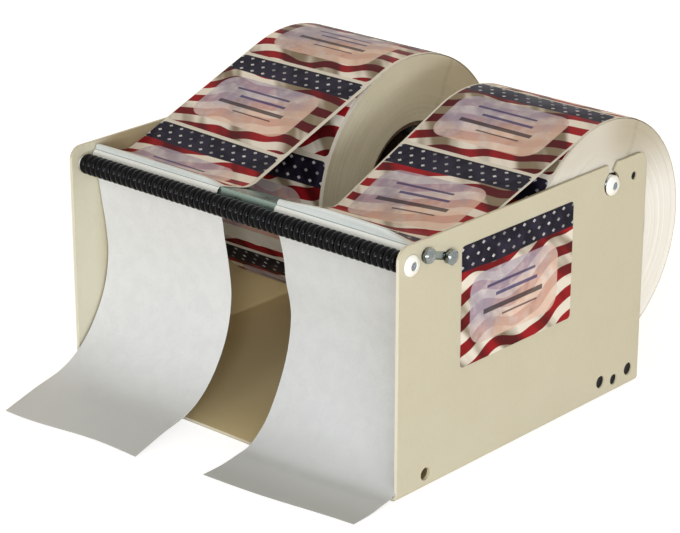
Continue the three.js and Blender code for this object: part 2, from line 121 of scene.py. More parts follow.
slope = math.radians(BAR_SLOPE)
bar_along = np.array([math.cos(slope), -math.sin(slope)])
bar_up = np.array([math.sin(slope), math.cos(slope)])
nose = np.array(NOSE)
roll_centre = np.array(ROLL_CENTRE)
shuffle = np.random.default_rng(41)


# Meshes

def middle_of(node):
    """The middle (y, z) of a solid, in millimetres."""
    low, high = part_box(node)
    centre = (low + high) / 2 / MM
    return centre.y, centre.z


def rounded(points, radius, steps=3):
    """An outline with each corner turned into an arc."""
    flat = [np.array(p, float) for p in points]
    made = []
    count = len(flat)
    for i, corner in enumerate(flat):
        before = flat[i - 1] - corner
        after = flat[(i + 1) % count] - corner
        reach = min(radius, 0.45 * np.hypot(*before), 0.45 * np.hypot(*after))
        start = corner + before / max(np.hypot(*before), 1e-9) * reach
        end = corner + after / max(np.hypot(*after), 1e-9) * reach
        for step in range(steps + 1):
            t = step / steps
            made.append(tuple((1 - t) ** 2 * start + 2 * t * (1 - t) * corner + t * t * end))
    return made


def through(points, count):
    """A smooth curve through the points, at even distances along it."""
    given = np.array(points, float)
    ends = [2 * given[0] - given[1], *given, 2 * given[-1] - given[-2]]
    fine = []
    for a, b, c, d in zip(ends, ends[1:], ends[2:], ends[3:]):
        for t in np.linspace(0, 1, 24, endpoint=False):
            fine.append(0.5 * (2 * b + (c - a) * t + (2 * a - 5 * b + 4 * c - d) * t ** 2
                               + (3 * b - a - 3 * c + d) * t ** 3))
    fine = np.array([*fine, given[-1]])
    gone = np.concatenate([[0], np.cumsum(np.linalg.norm(np.diff(fine, axis=0), axis=1))])
    wanted = np.linspace(0, gone[-1], count)
    return np.stack([np.interp(wanted, gone, fine[:, k]) for k in range(fine.shape[1])], 1), gone[-1]


def add_turned(bm, profile, centre, segments=72, ring=True, start=0.0, sweep=360.0, rise=0.0):
    """Adds a shape turned about the X-wise axis through centre, from (radius, x) points."""
    whole = abs(sweep) >= 360
    count = segments if whole else segments + 1
    loops = []
    for radius, x in profile:
        if radius < 1e-6:
            loops.append([bm.verts.new((x * MM, centre[0] * MM, centre[1] * MM))])
            continue
        loop = []
        for k in range(count):
            share = k / segments
            angle = math.radians(start + sweep * share)
            loop.append(bm.verts.new((
                (x + rise * share) * MM,
                (centre[0] + radius * math.cos(angle)) * MM,
                (centre[1] + radius * math.sin(angle)) * MM,
            )))
        loops.append(loop)
    following = loops[1:] + ([loops[0]] if ring else [])
    for a, b in zip(loops, following):
        if len(a) == 1 and len(b) == 1:
            continue
        for k in range(segments):
            n = (k + 1) % count
            if len(a) == 1:
                bm.faces.new((a[0], b[n], b[k]))
            elif len(b) == 1:
                bm.faces.new((a[k], a[n], b[0]))
            else:
                bm.faces.new((a[k], a[n], b[n], b[k]))
    if not whole:
        bm.faces.new([loop[0] for loop in loops])
        bm.faces.new([loop[-1] for loop in reversed(loops)])


def add_loops(bm, loops, ring=False):
    """Adds a closed skin over loops of equal length: its ends are capped, or meet if it is a ring."""
    rows = [[bm.verts.new([c * MM for c in p]) for p in loop] for loop in loops]
    count = len(rows[0])
    for a, b in zip(rows, rows[1:] + (rows[:1] if ring else [])):
        for k in range(count):
            n = (k + 1) % count
            bm.faces.new((a[k], a[n], b[n], b[k]))
    if not ring:
        bm.faces.new(rows[0])
        bm.faces.new(list(reversed(rows[-1])))


def place(bm, name, finish, sharp=35):
    """Turns a bmesh into a smooth-shaded piece with its finish."""
    bmesh.ops.recalc_face_normals(bm, faces=bm.faces)
    mesh = bpy.data.meshes.new(name)
    bm.to_mesh(mesh)
    bm.free()
    mesh.shade_smooth()
    mesh.set_sharp_from_angle(angle=math.radians(sharp))
    piece = bpy.data.objects.new(name, mesh)
    bpy.context.scene.collection.objects.link(piece)
    mesh.materials.append(finish)
    return piece


def turned_piece(name, finish, profile, centre, segments, sharp, ring=True):
    """A piece with its finish, turned from (radius, x) points about the X-wise axis through centre."""
    bm = bmesh.new()
    add_turned(bm, profile, centre, segments, ring)
    return place(bm, name, finish, sharp)


def sheet_mesh(name, middle, normals, thickness, finish, facts):
    """A thin closed sheet over a grid of points; facts are named values kept at every point."""
    middle, normals = np.array(middle, float), np.array(normals, float)
    rows, columns = middle.shape[:2]
    upper = middle + normals * thickness / 2
    lower = middle - normals * thickness / 2
    points = np.concatenate([upper.reshape(-1, 3), lower.reshape(-1, 3)]) * MM
    under = rows * columns

    def at(i, j):
        return i * columns + j

    faces = []
    for i in range(rows - 1):
        for j in range(columns - 1):
            quad = (at(i, j), at(i, j + 1), at(i + 1, j + 1), at(i + 1, j))
            faces.append(quad)
            faces.append(tuple(under + k for k in reversed(quad)))
    rim = [at(0, j) for j in range(columns - 1)]
    rim += [at(i, columns - 1) for i in range(rows - 1)]
    rim += [at(rows - 1, j) for j in range(columns - 1, 0, -1)]
    rim += [at(i, 0) for i in range(rows - 1, 0, -1)]
    for k, a in enumerate(rim):
        b = rim[(k + 1) % len(rim)]
        faces.append((b, a, under + a, under + b))
    mesh = bpy.data.meshes.new(name)
    mesh.from_pydata([tuple(p) for p in points], [], faces)
    for title, values in facts.items():
        layer = mesh.attributes.new(title, "FLOAT", "POINT")
        flat = np.array(values, np.float32).reshape(-1)
        layer.data.foreach_set("value", np.concatenate([flat, flat]))
    bm = bmesh.new()
    bm.from_mesh(mesh)
    bpy.data.meshes.remove(mesh)
    return place(bm, name, finish, 40)


def grid_normals(points):
    """Upward unit normals of a grid of points, whose rows run along the web."""
    points = np.array(points, float)
    along = np.gradient(points, axis=0)
    across = np.gradient(points, axis=1)
    normals = np.cross(across, along)
    return normals / np.maximum(np.linalg.norm(normals, axis=2, keepdims=True), 1e-9)


# Node wiring

class Wiring:
    """Puts nodes in one tree and joins them."""

    def __init__(self, tree):
        self.tree = tree

    def node(self, kind, inputs=None, **settings):
        made = self.tree.nodes.new(kind)
        for key, value in settings.items():
            setattr(made, key, value)
        for key, value in (inputs or {}).items():
            self.feed(made.inputs[key], value)
        return made

    def feed(self, socket, value):
        if isinstance(value, bpy.types.NodeSocket):
            self.tree.links.new(value, socket)
        elif socket.type == "RGBA" and len(value) == 3:
            socket.default_value = (*value, 1.0)
        else:
            socket.default_value = value

    def math(self, operation, *values):
        made = self.node("ShaderNodeMath", operation=operation)
        for socket, value in zip(made.inputs, values):
            self.feed(socket, value)
        return made.outputs[0]

    def times(self, first, second):
        return self.math("MULTIPLY", first, second)

    def plus(self, first, second):
        return self.math("ADD", first, second)

    def minus(self, first, second):
        return self.math("SUBTRACT", first, second)

    def over(self, first, second):
        return self.math("DIVIDE", first, second)

    def larger(self, first, second):
        return self.math("MAXIMUM", first, second)

    def unsigned(self, value):
        return self.math("ABSOLUTE", value)

    def spread(self, value, low, high, to_low=0.0, to_high=1.0, smooth=True):
        made = self.node("ShaderNodeMapRange", interpolation_type="SMOOTHSTEP" if smooth else "LINEAR")
        for socket, v in zip(made.inputs, (value, low, high, to_low, to_high)):
            self.feed(socket, v)
        return made.outputs[0]

    def between(self, share, low, high):
        return self.spread(share, 0.0, 1.0, low, high)

    def mix(self, share, first, second):
        made = self.node("ShaderNodeMix", data_type="RGBA")
        self.feed(made.inputs[0], share)
        self.feed(made.inputs[6], first)
        self.feed(made.inputs[7], second)
        return made.outputs[2]

    def noise(self, place, scale, detail=3.0, roughness=0.5, distortion=0.0):
        made = self.node("ShaderNodeTexNoise", {
            "Vector": place, "Scale": scale, "Detail": detail, "Roughness": roughness,
            "Distortion": distortion,
        })
        return made.outputs["Fac"]

    def vector(self, operation, first, second=None, scale=None):
        made = self.node("ShaderNodeVectorMath", operation=operation)
        self.feed(made.inputs[0], first)
        if second is not None:
            self.feed(made.inputs[1], second)
        if scale is not None:
            self.feed(made.inputs["Scale"], scale)
        return made.outputs["Value" if operation in ("LENGTH", "DOT_PRODUCT") else "Vector"]

    def joined(self, x, y, z):
        return self.node("ShaderNodeCombineXYZ", {"X": x, "Y": y, "Z": z}).outputs[0]

    def parts(self, place):
        return self.node("ShaderNodeSeparateXYZ", {0: place}).outputs

    def effect(self, group, **inputs):
        made = self.tree.nodes.new("ShaderNodeGroup")
        made.node_tree = group
        for key, value in inputs.items():
            self.feed(made.inputs[key.replace("_", " ")], value)
        return made.outputs

    def fact(self, title):
        return self.node("ShaderNodeAttribute", attribute_name=title).outputs["Fac"]

    def seen_at_once(self):
        """1 where a ray from the camera, a reflection or a clear surface meets this, else 0."""
        rays = self.node("ShaderNodeLightPath").outputs
        through_things = self.larger(rays["Is Glossy Ray"], rays["Is Transmission Ray"])
        return self.larger(rays["Is Camera Ray"], through_things)

    def local_place(self):
        """The point on the piece, in millimetres."""
        here = self.node("ShaderNodeTexCoord").outputs["Object"]
        return self.vector("SCALE", here, scale=1 / MM)


def effect_group(title, inputs, outputs):
    """An empty shader group with named inputs and outputs, and the wiring inside it."""
    kinds = {"value": "NodeSocketFloat", "colour": "NodeSocketColor", "vector": "NodeSocketVector"}
    tree = bpy.data.node_groups.new(title, "ShaderNodeTree")
    for name, (kind, start) in inputs.items():
        socket = tree.interface.new_socket(name=name, in_out="INPUT", socket_type=kinds[kind])
        if start is not None:
            socket.default_value = start
    for name, kind in outputs.items():
        tree.interface.new_socket(name=name, in_out="OUTPUT", socket_type=kinds[kind])
    given = tree.nodes.new("NodeGroupInput").outputs
    result = tree.nodes.new("NodeGroupOutput").inputs
    return tree, Wiring(tree), given, result


def mottle_effect():
    """Uneven tone at two sizes, such as age and handling leave on a finish."""
    tree, w, given, result = effect_group(
        "Mottle",
        {"Place": ("vector", None), "Patch Size": ("value", 40.0), "Speck Size": ("value", 1.5),
         "Speck Share": ("value", 0.3)},
        {"Tone": "value"},
    )
    wide = w.noise(given["Place"], w.over(1.0, given["Patch Size"]), 4.0, 0.55, 0.4)
    small = w.noise(given["Place"], w.over(1.0, given["Speck Size"]), 2.0, 0.6)
    both = w.node("ShaderNodeMix", data_type="FLOAT")
    w.feed(both.inputs[0], given["Speck Share"])
    w.feed(both.inputs[2], wide)
    w.feed(both.inputs[3], small)
    w.feed(result["Tone"], w.spread(both.outputs[0], 0.3, 0.7, smooth=False))
    return tree


def orange_peel_effect():
    """The fine pebbled skin of sprayed and baked paint."""
    tree, w, given, result = effect_group(
        "Orange Peel", {"Place": ("vector", None), "Size": ("value", 1.2)}, {"Height": "value"}
    )
    pitch = w.over(1.0, given["Size"])
    cells = w.node("ShaderNodeTexVoronoi", {"Vector": given["Place"], "Scale": pitch},
                   feature="SMOOTH_F1")
    soft = w.noise(given["Place"], w.times(pitch, 0.45), 2.0, 0.5)
    w.feed(result["Height"], w.plus(w.times(cells.outputs["Distance"], 0.6), soft))
    return tree


def brushed_effect():
    """Fine lines along X, with a few deeper scratches."""
    tree, w, given, result = effect_group(
        "Brushed Lines", {"Place": ("vector", None), "Line Pitch": ("value", 0.35)},
        {"Height": "value", "Tone": "value"},
    )
    x, y, z = w.parts(given["Place"])[:3]
    pitch = w.over(1.0, given["Line Pitch"])
    drawn = w.joined(w.times(x, 0.03), w.times(y, pitch), w.times(z, pitch))
    lines = w.noise(drawn, 1.0, 4.0, 0.7)
    long_lines = w.noise(w.vector("SCALE", drawn, scale=0.35), 1.0, 2.0, 0.6, 0.3)
    w.feed(result["Height"], w.plus(lines, w.times(long_lines, 0.5)))
    w.feed(result["Tone"], w.spread(long_lines, 0.35, 0.65))
    return tree


def paper_effect():
    """The cloudy look and faint fibres of thin paper."""
    tree, w, given, result = effect_group(
        "Paper Fibre", {"Place": ("vector", None), "Cloud Size": ("value", 9.0)},
        {"Height": "value", "Cloud": "value"},
    )
    cloud = w.noise(given["Place"], w.over(1.0, given["Cloud Size"]), 3.0, 0.6, 0.6)
    fibre = w.noise(given["Place"], 2.2, 3.0, 0.7, 1.5)
    w.feed(result["Cloud"], w.spread(cloud, 0.32, 0.68))
    w.feed(result["Height"], w.plus(w.times(cloud, 0.6), w.times(fibre, 0.3)))
    return tree


def wound_layers_effect():
    """The side of a wound roll: fine rings, and faint radial marks where label gaps line up."""
    tree, w, given, result = effect_group(
        "Wound Layers",
        {"Place": ("vector", None), "Ring Pitch": ("value", 0.9), "Mark Angle": ("value", 1.2)},
        {"Height": "value", "Tone": "value", "Mark": "value"},
    )
    y, z = w.parts(given["Place"])[1:3]
    radius = w.vector("LENGTH", w.joined(0.0, y, z))
    angle = w.math("ARCTAN2", z, y)

    def around(radial, turning, offset):
        return w.joined(w.times(radius, radial), w.times(angle, turning), offset)

    pitch = w.over(1.0, given["Ring Pitch"])
    rings = w.noise(around(pitch, 0.25, 0.0), 1.0, 3.0, 0.75)
    bands = w.noise(around(0.11, 0.4, 3.0), 1.0, 2.0, 0.5)
    streaks = w.noise(around(0.06, 9.0, 7.0), 1.0, 2.0, 0.6, 0.6)
    wander = w.minus(w.noise(around(0.09, 0.0, 5.0), 1.0), 0.5)
    off = w.plus(w.minus(angle, given["Mark Angle"]), w.times(wander, 0.09))
    off = w.times(w.unsigned(off), radius)
    faint = w.spread(w.noise(around(0.16, 0.0, 11.0), 1.0, 2.0), 0.35, 0.65, 0.25, 1.0)
    w.feed(result["Mark"], w.times(w.spread(off, 0.0, 3.4, 1.0, 0.0), faint))
    tone = w.plus(w.times(rings, 0.30), w.times(bands, 0.55))
    w.feed(result["Tone"], w.plus(tone, w.times(streaks, 0.15)))
    w.feed(result["Height"], w.plus(w.times(rings, 0.8), w.times(bands, 0.5)))
    return tree


def label_print_effect():
    """The printed face of one label: rippled stripes, a band of lozenges, and a plain ruled panel."""
    tree, w, given, result = effect_group(
        "Label Print",
        {"Across": ("value", 0.0), "Up": ("value", 0.0), "Seed": ("value", 0.0)},
        {"Colour": "colour", "Gloss": "value"},
    )
    u, v, seed = given["Across"], given["Up"], given["Seed"]
    here = w.joined(u, v, seed)

    def slanted(lean, along, up, detail, offset):
        """Long soft clouds that lean across the label."""
        run = w.times(w.plus(u, w.times(v, lean)), along)
        return w.noise(w.joined(run, w.times(v, up), w.plus(seed, offset)), 1.0, detail, 0.45)

    def wave(pitch, start, size):
        turn = w.plus(w.times(w.plus(u, w.times(v, 0.35)), pitch), start)
        return w.times(w.math("SINE", turn), size)

    lift = w.times(w.minus(slanted(0.55, 0.022, 0.006, 1.0, 0.0), 0.5), 24.0)
    lift = w.plus(lift, w.plus(wave(0.085, 0.6, 2.6), wave(0.19, 2.0, 0.7)))
    height = w.plus(w.plus(v, lift), w.times(u, -0.16))
    turn = w.math("SINE", w.times(height, 2 * math.pi / 15.0))
    red_share = w.spread(turn, -0.10, 0.10)
    fold = slanted(0.9, 0.045, 0.012, 2.0, 4.0)
    shade = w.spread(fold, 0.44, 0.62)
    cream = w.mix(shade, (0.86, 0.80, 0.73), (0.24, 0.19, 0.13))
    red = w.mix(w.spread(fold, 0.36, 0.60), (0.35, 0.012, 0.017), (0.085, 0.005, 0.007))
    cloth = w.mix(red_share, cream, red)
    band = w.spread(w.plus(v, w.times(lift, 0.12)), 59.4, 59.9)
    row = w.over(w.minus(v, 60.0), 5.6)
    stagger = w.times(w.math("MODULO", w.math("FLOOR", row), 2.0), 0.5)
    column = w.plus(w.over(u, 9.2), stagger)
    du = w.unsigned(w.minus(w.math("FRACT", w.plus(column, 20.0)), 0.5))
    dv = w.unsigned(w.minus(w.math("FRACT", w.plus(row, 20.0)), 0.5))
    reach = w.plus(w.times(du, 9.2), w.times(dv, 7.4))
    lozenge = w.spread(reach, 1.35, 1.75, 1.0, 0.0)
    navy = w.mix(w.spread(w.noise(here, 0.10, 3.0), 0.35, 0.65), (0.008, 0.007, 0.014), (0.024, 0.020, 0.040))
    faded = w.spread(w.noise(here, 0.06, 1.0), 0.38, 0.62, 0.35, 0.95)
    navy = w.mix(w.times(lozenge, faded), navy, (0.70, 0.70, 0.74))
    face = w.mix(band, cloth, navy)
    pu = w.minus(w.unsigned(w.plus(u, 3.0)), 29.0)
    pv = w.minus(w.unsigned(w.minus(v, 33.0)), 11.0)
    corner = w.vector("LENGTH", w.joined(w.larger(pu, 0.0), w.larger(pv, 0.0), 0.0))
    inside = w.spread(corner, 10.8, 11.4, 1.0, 0.0)
    cloud = w.noise(here, 0.04, 3.0, 0.55, 0.4)
    lean = w.plus(w.times(u, 0.012), w.times(w.minus(34.0, v), 0.02))
    drift = w.times(w.minus(cloud, 0.5), 1.2)
    warm = w.spread(w.plus(w.plus(lean, 0.5), drift), 0.15, 0.85)
    panel = w.mix(warm, (0.46, 0.41, 0.53), (0.80, 0.55, 0.45))
    pale = w.spread(w.noise(here, 0.10, 3.0, 0.6), 0.46, 0.74, 0.0, 0.6)
    panel = w.mix(pale, panel, (0.84, 0.79, 0.79))
    elsewhere = w.vector("ADD", here, (31.0, 7.0, 0.0))
    dusk = w.spread(w.noise(elsewhere, 0.08, 3.0, 0.6, 0.4), 0.50, 0.72, 0.0, 0.3)
    panel = w.mix(dusk, panel, (0.24, 0.17, 0.21))
    face = w.mix(w.times(inside, 0.74), face, panel)
    for at, reach_u, thick, ink, left in RULES:
        bar_u = w.spread(w.unsigned(w.minus(u, left)), reach_u - 0.3, reach_u + 0.3, 1.0, 0.0)
        bar_v = w.spread(w.unsigned(w.minus(v, at)), thick - 0.2, thick + 0.2, 1.0, 0.0)
        face = w.mix(w.times(w.times(bar_u, bar_v), 0.85), face, ink)
    w.feed(result["Colour"], face)
    w.feed(result["Gloss"], w.spread(cloud, 0.3, 0.7, 0.0, 1.0))
    return tree


effects = {
    "mottle": mottle_effect(),
    "orange peel": orange_peel_effect(),
    "brushed": brushed_effect(),
    "paper": paper_effect(),
    "wound": wound_layers_effect(),
    "print": label_print_effect(),
}


# Finishes

def new_finish(title, **settings):
    """A material with its Principled shader's plain settings, and the wiring of its tree."""
    made = bpy.data.materials.new(title)
    made.use_nodes = True
    shader = made.node_tree.nodes["Principled BSDF"]
    for key, value in settings.items():
        shader.inputs[key.replace("_", " ")].default_value = value
    return made, Wiring(made.node_tree), shader.inputs


def mottled(w, place, patch, speck, share):
    """Uneven tone from 0 to 1, in patches and specks of these sizes."""
    made = w.effect(effects["mottle"], Place=place, Patch_Size=patch, Speck_Size=speck, Speck_Share=share)
    return made["Tone"]


def bumped(w, shader, height, distance):
    """Fine relief of this height, in millimetres."""
    made = w.node("ShaderNodeBump", {"Height": height, "Distance": distance * MM, "Strength": 1.0})
    w.feed(shader["Normal"], made.outputs["Normal"])


def cream_powder_coat():
    """Sprayed paint; inside the frame painted light and shade, a painted highlight on the front edges,
    painted shade along the foot and a darker rear edge.
    """
    made, w, shader = new_finish("cream powder coat", IOR=1.5, Specular_IOR_Level=0.45)
    place = w.local_place()
    tone = mottled(w, place, 55.0, 2.4, 0.35)
    grime = mottled(w, w.vector("SCALE", place, scale=0.8), 24.0, 0.9, 0.5)
    colour = w.mix(tone, (0.592, 0.556, 0.428), (0.632, 0.598, 0.474))
    colour = w.mix(w.times(w.spread(grime, 0.62, 1.0), 0.22), colour, (0.50, 0.45, 0.31))
    x, y, z = w.parts(place)[:3]
    # Inside the frame the colour is painted light and shade: the base turns a bright yellow (painted bounce
    # light) and the inner faces grow dark brown upwards (painted shade). The front strip of the inner faces
    # keeps the plain cream.
    inside = w.times(w.spread(w.unsigned(x), PLATE_INNER + 0.2, PLATE_OUTER - 0.2, 1.0, 0.0),
                    w.larger(w.spread(y, -100.0, -78.0), w.spread(z, 2.5, 4.5, 1.0, 0.0)))
    painted_interior_tone = w.mix(w.spread(z, 3.0, 70.0, 1.0, 0.0), (0.38, 0.31, 0.175), (0.86, 0.70, 0.37))
    colour = w.mix(w.times(inside, 0.85), colour, painted_interior_tone)
    # The front edges are made paler: a painted highlight along the lit edge.
    colour = w.mix(w.spread(y, FRONT_EDGE + 0.05, FRONT_EDGE + 0.45, 0.7, 0.0), colour, (0.86, 0.83, 0.72))
    # Darker along the foot: painted shade where the bottom bend turns down. The rear edge is darker too.
    dark_foot_and_rear_edge = w.larger(w.spread(z, 0.3, 2.4, 0.45, 0.0), w.spread(y, -FRONT_EDGE - 0.9, -FRONT_EDGE, 0.0, 0.5))
    colour = w.mix(dark_foot_and_rear_edge, colour, (0.34, 0.34, 0.29))
    w.feed(shader["Base Color"], colour)
    w.feed(shader["Roughness"], w.between(grime, 0.36, 0.48))
    peel = w.effect(effects["orange peel"], Place=place, Size=1.1)["Height"]
    bumped(w, shader, peel, 0.03)
    return made


def zinc_plate():
    """Greenish zinc on the bar, with dull ends where it was cut."""
    made, w, shader = new_finish("zinc plated bar")
    place = w.local_place()
    lines = w.effect(effects["brushed"], Place=place, Line_Pitch=0.3)
    tone = mottled(w, place, 14.0, 1.2, 0.35)
    colour = w.mix(tone, (0.20, 0.28, 0.23), (0.32, 0.40, 0.34))
    colour = w.mix(w.times(lines["Tone"], 0.3), colour, (0.42, 0.50, 0.45))
    cut_end = w.spread(w.unsigned(w.parts(place)["X"]), BAR_CUT - 0.5, BAR_CUT, smooth=False)
    colour = w.mix(cut_end, colour, (0.42, 0.47, 0.43))
    w.feed(shader["Metallic"], w.spread(cut_end, 0.0, 1.0, 1.0, 0.2, smooth=False))
    w.feed(shader["Base Color"], colour)
    w.feed(shader["Roughness"], w.between(tone, 0.24, 0.40))
    bumped(w, shader, lines["Height"], 0.012)
    return made


def bright_steel(title, dark, light, low, high):
    made, w, shader = new_finish(title, Metallic=1.0)
    place = w.local_place()
    lines = w.effect(effects["brushed"], Place=place, Line_Pitch=0.25)
    tone = mottled(w, place, 6.0, 0.7, 0.4)
    w.feed(shader["Base Color"], w.mix(tone, dark, light))
    w.feed(shader["Roughness"], w.between(tone, low, high))
    bumped(w, shader, lines["Height"], 0.01)
    return made


def black_rubber():
    made, w, shader = new_finish("black rubber", IOR=1.5, Specular_IOR_Level=0.11)
    place = w.local_place()
    tone = mottled(w, place, 9.0, 0.5, 0.5)
    dust = w.spread(tone, 0.55, 1.0)
    w.feed(shader["Base Color"], w.mix(w.times(dust, 0.5), (0.0015, 0.0015, 0.002), (0.006, 0.006, 0.008)))
    w.feed(shader["Roughness"], w.between(tone, 0.05, 0.10))
    bumped(w, shader, w.effect(effects["paper"], Place=place, Cloud_Size=1.0)["Height"], 0.01)
    return made


def white_nylon():
    made, w, shader = new_finish("white nylon", IOR=1.53, Subsurface_Weight=0.08, Subsurface_Scale=0.001)
    place = w.local_place()
    tone = mottled(w, place, 7.0, 0.8, 0.3)
    w.feed(shader["Base Color"], w.mix(tone, (0.92, 0.92, 0.90), (0.96, 0.96, 0.945)))
    w.feed(shader["Roughness"], w.between(tone, 0.28, 0.40))
    bumped(w, shader, w.effect(effects["orange peel"], Place=place, Size=0.7)["Height"], 0.01)
    return made


def cardboard():
    made, w, shader = new_finish("core board", Specular_IOR_Level=0.25)
    place = w.local_place()
    centred = w.vector("SUBTRACT", place, (0.0, *ROLL_CENTRE))
    x, y, z = w.parts(centred)[:3]
    around = w.over(w.math("ARCTAN2", z, y), 2 * math.pi)
    lay = w.math("FRACT", w.plus(w.over(x, 62.0), around))
    seam = w.spread(w.unsigned(w.minus(lay, 0.5)), 0.004, 0.02, 1.0, 0.0)
    sheet = w.effect(effects["paper"], Place=place, Cloud_Size=5.0)
    # The board is coloured nearly black: partly its own dark brown, partly painted shade inside the core.
    colour = w.mix(sheet["Cloud"], (0.085, 0.058, 0.036), (0.14, 0.098, 0.062))
    w.feed(shader["Base Color"], w.mix(w.times(seam, 0.55), colour, (0.04, 0.028, 0.018)))
    w.feed(shader["Roughness"], w.between(sheet["Cloud"], 0.75, 0.9))
    bumped(w, shader, w.minus(sheet["Height"], w.times(seam, 1.4)), 0.10)
    return made


def wound_stock(title, mark_angle, low, high, stained, top_shade_colour, top_shade_share):
    """The side of a roll; its upper part is tinted tan, painted shade."""
    made, w, shader = new_finish(title, Specular_IOR_Level=0.25)
    centred = w.vector("SUBTRACT", w.local_place(), (0.0, *ROLL_CENTRE))
    layers = w.effect(effects["wound"], Place=centred, Ring_Pitch=0.9, Mark_Angle=math.radians(mark_angle))
    stain = mottled(w, centred, 34.0, 2.0, 0.2)
    colour = w.mix(w.spread(layers["Tone"], 0.34, 0.66), low, high)
    colour = w.mix(w.times(stain, 0.35), colour, stained)
    y, z = w.parts(centred)[1:3]
    # Painted shade: the upper part of the side, more towards the rear, is tinted tan.
    top_shade = w.times(w.spread(z, 14.0, 64.0), w.spread(y, -12.0, 24.0, 0.62, 1.0))
    colour = w.mix(w.times(top_shade, top_shade_share), colour, top_shade_colour)
    colour = w.mix(w.times(layers["Mark"], 0.40), colour, (0.34, 0.29, 0.20))
    w.feed(shader["Base Color"], colour)
    w.feed(shader["Roughness"], w.spread(layers["Tone"], 0.3, 0.7, 0.55, 0.72))
    bumped(w, shader, layers["Height"], 0.06)
    return made


def printed_label(title):
    """Printed paper, glossier where there is more ink."""
    made, w, shader = new_finish(title, IOR=1.5, Specular_IOR_Level=0.06, Coat_Roughness=0.25)
    across, up, seed = w.fact("across"), w.fact("up"), w.fact("seed")
    face = w.effect(effects["print"], Across=across, Up=up, Seed=seed)
    w.feed(shader["Base Color"], face["Colour"])
    w.feed(shader["Roughness"], w.between(face["Gloss"], 0.36, 0.50))
    w.feed(shader["Coat Weight"], w.between(face["Gloss"], 0.0, 0.03))
    place = w.joined(across, up, seed)
    bumped(w, shader, w.effect(effects["paper"], Place=place, Cloud_Size=16.0)["Height"], 0.03)
    return made


def glassine(title, low, high, nose_low, nose_high, nose_from, nose_to):
    """Release liner: other colours over the bar's nose, a line of painted shade in the nose crease, and
    painted shade far down a hanging liner.
    """
    made, w, shader = new_finish(title, IOR=1.5, Specular_IOR_Level=0.2)
    run, across = w.fact("run"), w.fact("across")
    place = w.joined(across, run, 0.0)
    sheet = w.effect(effects["paper"], Place=place, Cloud_Size=11.0)
    grain = mottled(w, place, 7.0, 1.7, 0.6)
    cloud = w.plus(w.times(sheet["Cloud"], 0.4), w.times(grain, 0.6))
    # Over the nose the colours change to nose_low..nose_high: on the hanging liners a near white, painted
    # light on the face below the nose.
    drawn = w.spread(run, nose_from, nose_to)
    colour = w.mix(drawn, w.mix(cloud, low, high), w.mix(cloud, nose_low, nose_high))
    pulled = w.effect(effects["brushed"], Place=w.joined(across, run, 0.0), Line_Pitch=0.4)["Tone"]
    pulled = w.times(w.times(pulled, drawn), w.spread(run, 0.2, 0.9))
    colour = w.mix(w.times(pulled, 0.45), colour, (0.46, 0.50, 0.50))
    # Far down a hanging liner the colour turns darker grey: painted shade.
    colour = w.mix(w.spread(run, -185.0, -110.0, 0.85, 0.0), colour, (0.52, 0.535, 0.53))
    # A darker line along the crease at the nose: painted shade.
    crease = w.spread(w.unsigned(run), 0.14, 0.42, 1.0, 0.0)
    colour = w.mix(w.times(crease, 0.75), colour, (0.20, 0.25, 0.24))
    w.feed(shader["Base Color"], colour)
    w.feed(shader["Roughness"], w.between(cloud, 0.40, 0.52))
    bumped(w, shader, sheet["Height"], 0.035)
    return made


powder_coat = cream_powder_coat()
zinc = zinc_plate()
bolt_steel = bright_steel("zinc plated fasteners", (0.16, 0.18, 0.18), (0.40, 0.43, 0.43), 0.12, 0.26)
washer_steel = bright_steel("spring steel", (0.03, 0.035, 0.035), (0.10, 0.11, 0.11), 0.28, 0.45)
rod_steel = bright_steel("ground rod", (0.17, 0.20, 0.22), (0.34, 0.37, 0.40), 0.20, 0.34)
rubber = black_rubber()
nylon = white_nylon()
board = cardboard()
# Both rolls are the same paper: the left roll's side is coloured darker and browner, painted shade between
# the rolls, and the right roll's side whiter, painted light.
wound = {
    "left": wound_stock("left wound stock", 62.0, (0.58, 0.54, 0.42), (0.70, 0.66, 0.54),
                        (0.56, 0.48, 0.30), (0.44, 0.39, 0.28), 0.45),
    "right": wound_stock("right wound stock", 66.0, (0.94, 0.94, 0.93), (0.98, 0.98, 0.975),
                         (0.93, 0.92, 0.89), (0.51, 0.46, 0.36), 0.95),
}
label_face = printed_label("label face")
# The liner on the web and round the rolls is coloured a darker, warmer cream than the hanging liners of the
# same paper: painted shade.
liner_face = glassine("liner paper", (0.70, 0.66, 0.58), (0.76, 0.72, 0.65), (0.71, 0.76, 0.77),
                      (0.79, 0.84, 0.845), 9.0, 5.0)
# Both hanging liners are the same paper: the right one's colours are darker, painted shade, and near the nose
# both turn near white, painted light on the face below the nose.
tail_face = {
    "left": glassine("left hanging liner", (0.71, 0.74, 0.775), (0.80, 0.825, 0.86), (0.93, 0.97, 0.96),
                     (0.96, 0.99, 0.98), -8.0, -5.0),
    "right": glassine("right hanging liner", (0.64, 0.67, 0.70), (0.72, 0.745, 0.78), (0.93, 0.97, 0.96),
                      (0.96, 0.99, 0.98), -8.0, -5.0),
}


# Frame and bar: the solids stay, with eased edges

def ease_edges(node, width, finish):
    """Softens the sharp edges of a solid and gives it its finish."""
    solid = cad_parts[node]
    flatten = solid.modifiers.new("merge flats", "DECIMATE")
    flatten.decimate_type = "DISSOLVE"
    flatten.angle_limit = math.radians(0.5)
    bevel = solid.modifiers.new("eased edges", "BEVEL")
    bevel.width = width * MM
    bevel.segments = 2
    bevel.limit_method = "ANGLE"
    bevel.angle_limit = math.radians(50)
    bevel.harden_normals = True
    solid.data.shade_smooth()
    solid.data.set_sharp_from_angle(angle=math.radians(40))
    solid.data.materials.clear()
    solid.data.materials.append(finish)


ease_edges("frame_channel", 0.35, powder_coat)
ease_edges("peel_bar", 0.25, zinc)


